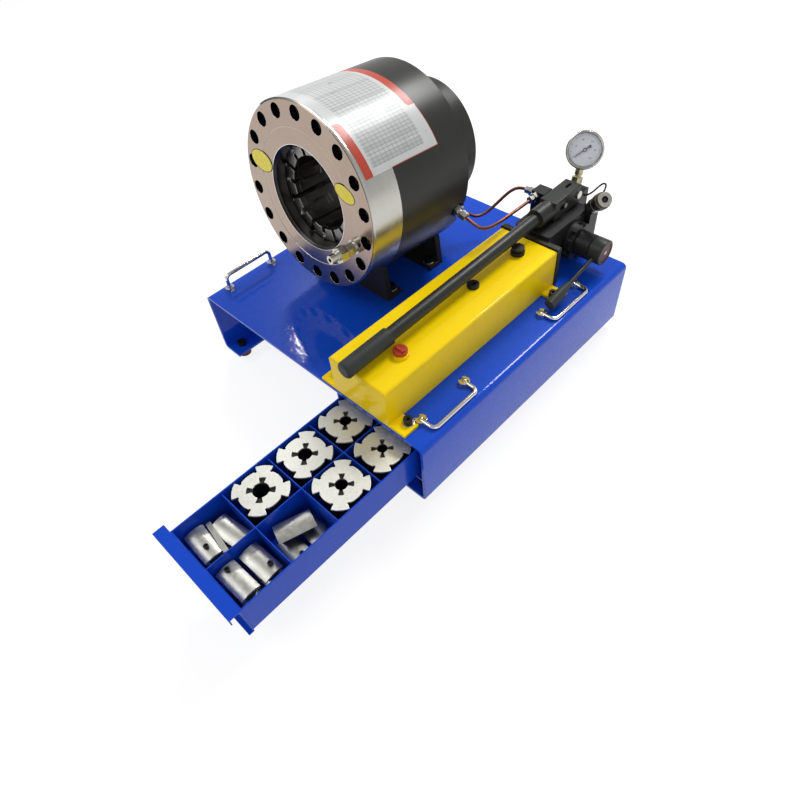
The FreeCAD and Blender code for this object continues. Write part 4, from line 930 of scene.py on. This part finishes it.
caseFront = gaugeLevel("gauge_case", max)
caseDepth = caseFront - gaugeLevel("gauge_case", min)
dialFront = caseFront - gauge["recess"] + gauge["dialThick"]
side, edge = gauge["side"], gauge["backEdge"]
housingRows = [(0.0, -caseDepth), (side - edge, -caseDepth), (side, -caseDepth + edge), (side, -gauge["lip"])]
housingRows += [(gauge["outer"] - inward, -back) for inward, back in gauge["bezel"]]
housingRows += [(gauge["opening"] + outward, -back) for outward, back in gauge["mouth"]]
housingRows += [(gauge["opening"], -gauge["recess"]), (0.0, -gauge["recess"])]
housing = turnedMesh(housingRows, steps=96)
gaugeHousing = finishPiece("gaugeHousing", housing, ["stainlessCase"], "gauge_case", dialPlace(caseFront))
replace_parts(gaugeHousing, "gauge_case")
glassBack, glassRadius = -gauge["glassBack"], gauge["opening"] - gauge["glassGap"]
pane = discMesh(glassRadius, glassBack, glassBack + gauge["glassThick"], 0.0003)
finishPiece("gaugeGlass", pane, ["gaugeGlass"], "gauge_dial", dialPlace(caseFront))
for pieceName in ("minorTicks", "majorTicks"):
    wide, tall, count = gauge[pieceName]
    tick = boxMesh((-tall / 2, -wide / 2, 0.0), (tall / 2, wide / 2, gauge["ink"]))
    ring = {
        "count": count, "radius": gauge["tickRing"] + (gauge["majorTicks"][1] - tall) / 2,
        "first": 90 + gauge["scaleSweep"] / 2, "step": -gauge["scaleSweep"] / (count - 1)}
    growOnCircle(pieceName, tick, ring, "dialInk", "gauge_dial", dialPlace(dialFront))


def numberMesh(digits):
    curve = bpy.data.curves.new("number", "FONT")
    curve.body, curve.size, curve.extrude = digits, gauge["numberSize"], gauge["ink"] / 2
    curve.align_x, curve.align_y = "CENTER", "CENTER"
    return curveMesh(curve)


scaleNumbers = bmesh.new()
for k in range(gauge["numbers"]):
    angle = math.radians(90 + gauge["scaleSweep"] / 2 - gauge["scaleSweep"] * k / (gauge["numbers"] - 1))
    number = numberMesh(str(k * gauge["numberStep"]))
    spot = Vector((math.cos(angle), math.sin(angle), 0.0)) * gauge["numberRing"]
    number.transform(Matrix.Translation(spot + Vector((0, 0, gauge["ink"] / 2))))
    scaleNumbers.from_mesh(number)
finishPiece("dialNumbers", meshOf(scaleNumbers, "numbers"), ["dialInk"], "gauge_dial", dialPlace(dialFront))

# bright hub over the needle and a dark filler plug low on the case's side
needleTop = gaugeLevel("gauge_needle", max)
hubCap = turnedMesh([(0.0, 0.0), (0.0020, 0.0), (0.0020, 0.0005), (0.0014, 0.0011), (0.0, 0.0013)], steps=32)
finishPiece("needleHub", hubCap, ["brightZinc"], "gauge_needle", dialPlace(needleTop))
fillerPlug = {"angle": -52.0, "radius": 0.0050, "proud": 0.0016, "sunk": 0.0008, "back": 0.0155}
around = Matrix.Rotation(math.radians(fillerPlug["angle"]), 4, "Z")
outward = Matrix.Rotation(math.radians(90), 4, "Y") @ Matrix.Translation((0, 0, gauge["side"]))
plugPlace = dialPlace(caseFront - fillerPlug["back"]) @ around @ outward
radius, proud, sunk = fillerPlug["radius"], fillerPlug["proud"], -fillerPlug["sunk"]
plugRows = [(0.0, sunk), (radius, sunk), (radius, proud * 0.6), (radius * 0.85, proud), (0.0, proud)]
plugShape = turnedMesh(plugRows, steps=32)
finishPiece("gaugeFillerPlug", plugShape, ["blackRubber"], "gauge_case", plugPlace)
print("gauge dressed")

# coupler: knurled sleeve, bright nose and black valve inside it
couplerOut = -Vector(joints["coupler_ring_slide"]["axis"]).normalized()
knurl = {"radius": 0.0145, "count": 44, "rib": 0.0005, "proud": 0.7, "low": -0.0143, "high": -0.0028}
growRibs("couplerKnurl", knurl, "oliveSleeve", "coupler_sleeve", couplerOut)
# radius and height of each corner, from the coupler's nose
valveRows = [(0.0, -0.012), (0.0059, -0.012), (0.0059, -0.0046), (0.0049, -0.0038), (0.0026, -0.0038),
             (0.0026, -0.0016), (0.0, -0.0012)]
valveShape = turnedMesh(valveRows, steps=40)
finishPiece("couplerValve", valveShape, ["blackRubber"], "coupler_body", endPlace("coupler_body", couplerOut))

# release valve cap: dark red face with a bright screw
valveFace = {
    "radius": 0.0179, "low": -0.0039, "high": -0.0008, "edge": 0.0005, "screw": 0.0034, "screwTop": 0.0026,
    "screwTall": 0.0007, "socket": 0.003}
capPlace = endPlace("valve_cap", (1, 0, 0))
faceShape = discMesh(valveFace["radius"], valveFace["low"], valveFace["high"], valveFace["edge"])
finishPiece("valveFace", faceShape, ["valveRed"], "valve_cap", capPlace)
low, high, socket = valveFace["high"], valveFace["high"] + valveFace["screwTall"], hexRow(valveFace["socket"])
faceScrew = turnedMesh([
    (0.0, low), (valveFace["screw"], low), (valveFace["screw"], high - 0.0003), (valveFace["screwTop"], high),
    (socket, high), (socket, low + 0.0001), (0.0, low + 0.0001)], steps=36)
finishPiece("valveFaceScrew", faceScrew, ["brightZinc"], "valve_cap", capPlace)

# rigid pipes, bent in smooth lines between their fittings
pipeLines = {
    "feed_pipe": {"piece": "feedPipeLine", "radius": 0.0029, "finish": "copperPipe", "route": [
        (0.05925, 0.20260, 0.27804), (0.08150, 0.20210, 0.27090), (0.10200, 0.20200, 0.26200),
        (0.09100, 0.26372, 0.24300), (0.09700, 0.31172, 0.24900), (0.09700, 0.35072, 0.24900)]},
    "return_pipe": {"piece": "returnPipeLine", "radius": 0.0029, "finish": "copperPipe", "route": [
        (-0.01261, 0.23997, 0.23902), (-0.01261, 0.26300, 0.23742), (-0.01261, 0.28500, 0.22000),
        (0.01000, 0.31500, 0.18200), (0.04000, 0.37072, 0.24900), (0.06200, 0.37072, 0.24900),
        (0.07700, 0.37072, 0.24900)]},
    "bypass_pipe": {"piece": "bypassPipeLine", "radius": 0.0016, "finish": "greySteel", "route": [
        (0.15400, 0.43572, 0.23600), (0.16600, 0.43572, 0.24000), (0.18200, 0.43700, 0.27200),
        (0.19800, 0.43200, 0.27600), (0.19722, 0.41800, 0.26220), (0.19722, 0.40998, 0.25763)]},
}
for nodeName, look in pipeLines.items():
    curve = bpy.data.curves.new(look["piece"], "CURVE")
    curve.dimensions = "3D"
    curve.bevel_depth, curve.bevel_resolution, curve.resolution_u = look["radius"], 5, 14
    curve.use_fill_caps = True
    line = curve.splines.new("NURBS")
    line.points.add(len(look["route"]) - 1)
    for point, spot in zip(line.points, look["route"]):
        point.co = (*spot, 1.0)
    line.order_u, line.use_endpoint_u = 4, True
    tube = curveMesh(curve)
    tube.materials.clear()
    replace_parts(finishPiece(look["piece"], tube, [look["finish"]], nodeName), nodeName)

# breather ribs and the rings moulded in the red cap
breather = {"radius": 0.0119, "count": 30, "rib": 0.0006, "proud": 0.5, "low": -0.0130, "high": -0.0070}
growRibs("breatherRibs", breather, "castBlack", "breather_knob", (0, 0, 1))
capRings = {"radii": (0.0042, 0.0078), "wide": 0.0005, "crown": 0.0003, "tall": 0.0004, "sunk": 0.0001}
ringSet = bmesh.new()
for radius in capRings["radii"]:
    wide, crown, tall, sunk = (capRings[k] for k in ("wide", "crown", "tall", "sunk"))
    ringSet.from_mesh(turnedMesh([(radius - wide, -sunk), (radius + wide, -sunk), (radius + crown, tall),
                                  (radius - crown, tall)], closedRing=True))
capTop = endPlace("filler_cap", (0, 0, 1))
finishPiece("capRings", meshOf(ringSet, "capRings"), ["redPlastic"], "filler_cap", capTop)
print("pump and tank details made")

# printed sheet round the head and the two oval stickers on its face
sheet = {"lowAngle": 29.0, "highAngle": 125.0, "turnStep": 1.0, "rows": 24, "lift": 0.00012, "thick": 0.00014,
         "frontGap": 0.009, "frontDrift": 0.00012, "leastGap": 0.0008, "rearLow": 0.1625, "rearDrift": 0.019}


def sheetFront(angle):
    # the sheet lies a little askew, so its front edge drifts towards the face
    return max(sheet["frontGap"] + (sheet["lowAngle"] - angle) * sheet["frontDrift"], sheet["leastGap"])


def sheetRear(angle):
    turned = (angle - sheet["lowAngle"]) / (sheet["highAngle"] - sheet["lowAngle"])
    return sheet["rearLow"] - sheet["rearDrift"] * turned


def makeSheet():
    count = int((sheet["highAngle"] - sheet["lowAngle"]) / sheet["turnStep"])
    work = bmesh.new()
    radius = headRadius + sheet["lift"]
    grids = []
    for lift in (0.0, sheet["thick"]):
        grid = []
        for i in range(count + 1):
            angle = sheet["lowAngle"] + sheet["turnStep"] * i
            front, rear = sheetFront(angle), sheetRear(angle)
            depths = [front + (rear - front) * j / sheet["rows"] for j in range(sheet["rows"] + 1)]
            grid.append([work.verts.new(headPoint(radius + lift, depth, angle)) for depth in depths])
        grids.append(grid)
    under, over = grids
    for i in range(count):
        for j in range(sheet["rows"]):
            work.faces.new((over[i][j], over[i + 1][j], over[i + 1][j + 1], over[i][j + 1]))
            work.faces.new((under[i][j], under[i][j + 1], under[i + 1][j + 1], under[i + 1][j]))
    rim = [(i, 0) for i in range(count)] + [(count, j) for j in range(sheet["rows"])]
    rim += [(i, sheet["rows"]) for i in range(count, 0, -1)] + [(0, j) for j in range(sheet["rows"], 0, -1)]
    for (i, j), (k, m) in zip(rim, rim[1:] + rim[:1]):
        work.faces.new((under[i][j], under[k][m], over[k][m], over[i][j]))
    return meshOf(work, "sheet")


def mapSheet(mesh):
    # metres round the head from the lower edge, and metres back from the front edge
    layer = mesh.uv_layers.new(name="sheetMap")
    gap = mesh.attributes.new("rearGap", "FLOAT", "POINT")
    spots = []
    for vert in mesh.vertices:
        offset = vert.co - headCentre
        angle = math.degrees(math.atan2(offset.dot(headUp), offset.dot(headRight)))
        back = offset.dot(headBack)
        spots.append((math.radians(angle - sheet["lowAngle"]) * headRadius, back - sheetFront(angle)))
        gap.data[vert.index].value = sheetRear(angle) - back
    for loop in mesh.loops:
        layer.data[loop.index].uv = spots[loop.vertex_index]


sheetPiece = finishPiece("printedSheet", makeSheet(), ["sheetPrint"], "gauge_dial")
mapSheet(sheetPiece.data)

stickers = {"leftSticker": {"radius": 0.1129, "angle": 163.9, "long": 0.027, "short": 0.018, "turn": 178.0},
            "rightSticker": {"radius": 0.1043, "angle": 24.6, "long": 0.0223, "short": 0.0132, "turn": -15.6}}
border, thick, steps = 0.0011, 0.0003, 64
for stickerName, look in stickers.items():
    middle = headPoint(look["radius"], 0.0, look["angle"])
    a = math.radians(look["turn"])
    longWay = headRight * math.cos(a) + headUp * math.sin(a)
    shortWay = headUp * math.cos(a) - headRight * math.sin(a)
    work = bmesh.new()
    rows = []
    for inset, lift in ((0.0, 0.0), (0.0, thick), (border, thick)):
        row = []
        for k in range(steps):
            t = 2 * math.pi * k / steps
            long, short = (look["long"] - inset) * math.cos(t), (look["short"] - inset) * math.sin(t)
            row.append(work.verts.new(middle + longWay * long + shortWay * short - headBack * lift))
        rows.append(row)
    for low, high in zip(rows, rows[1:]):
        for k in range(steps):
            after = (k + 1) % steps
            work.faces.new((low[k], low[after], high[after], high[k])).material_index = 1
    work.faces.new(rows[-1]).material_index = 0
    work.faces.new(rows[0][::-1]).material_index = 1
    finishPiece(stickerName, meshOf(work, stickerName), ["stickerYellow", "dialInk"], "oil_tank")
print("sheet and stickers laid")


floorLook = {"size": 30.0, "bounce": 0.8, "shadowed": 0.24, "glow": 0.84}
roomLook = {"low": 0.80, "middle": 0.64, "high": 0.46, "strength": 0.9}
white = (1.0, 1.0, 1.0)


def makeFloor(look):
    mesh = bpy.data.meshes.new("floor")
    half = look["size"] / 2
    corners = [(-half, -half, 0), (half, -half, 0), (half, half, 0), (-half, half, 0)]
    mesh.from_pydata(corners, [], [(0, 1, 2, 3)])
    material = bpy.data.materials.new("floorWhite")
    tree = emptyTree(material)
    rays = addNode(tree, "ShaderNodeLightPath").outputs
    seen = addMath(tree, "MAXIMUM", rays["Is Camera Ray"], rays["Is Glossy Ray"])
    seen = addMath(tree, "MAXIMUM", seen, rays["Is Transmission Ray"])
    plain = addNode(tree, "ShaderNodeBsdfDiffuse", {"Color": (look["bounce"],) * 3}).outputs[0]
    shaded = addNode(tree, "ShaderNodeBsdfDiffuse", {"Color": (look["shadowed"],) * 3}).outputs[0]
    glow = addNode(tree, "ShaderNodeEmission", {"Color": white, "Strength": look["glow"]}).outputs[0]
    bright = addNode(tree, "ShaderNodeAddShader", {0: shaded, 1: glow}).outputs[0]
    mix = addNode(tree, "ShaderNodeMixShader", {0: seen, 1: plain, 2: bright}).outputs[0]
    addNode(tree, "ShaderNodeOutputMaterial", {"Surface": mix})
    mesh.materials.append(material)
    linkObject("floor", mesh)


def makeRoom(look):
    # white for the camera, a soft grey gradient as light and in reflections
    world = bpy.data.worlds.new("room")
    scene.world = world
    tree = emptyTree(world)
    direction = addNode(tree, "ShaderNodeTexCoord").outputs["Generated"]
    upward = addNode(tree, "ShaderNodeSeparateXYZ", {0: direction}).outputs[2]
    height = addMath(tree, "ADD", addMath(tree, "MULTIPLY", upward, 0.5), 0.5)
    shade = addRamp(tree, height, [(0.45, look["low"]), (0.62, look["middle"]), (1.0, look["high"])])
    soft = addNode(tree, "ShaderNodeBackground", {"Color": shade, "Strength": look["strength"]}).outputs[0]
    plain = addNode(tree, "ShaderNodeBackground", {"Color": white}).outputs[0]
    cameraRay = addNode(tree, "ShaderNodeLightPath").outputs["Is Camera Ray"]
    mix = addNode(tree, "ShaderNodeMixShader", {0: cameraRay, 1: soft, 2: plain}).outputs[0]
    addNode(tree, "ShaderNodeOutputWorld", {"Surface": mix})


makeFloor(floorLook)
makeRoom(roomLook)
print("floor and room made")
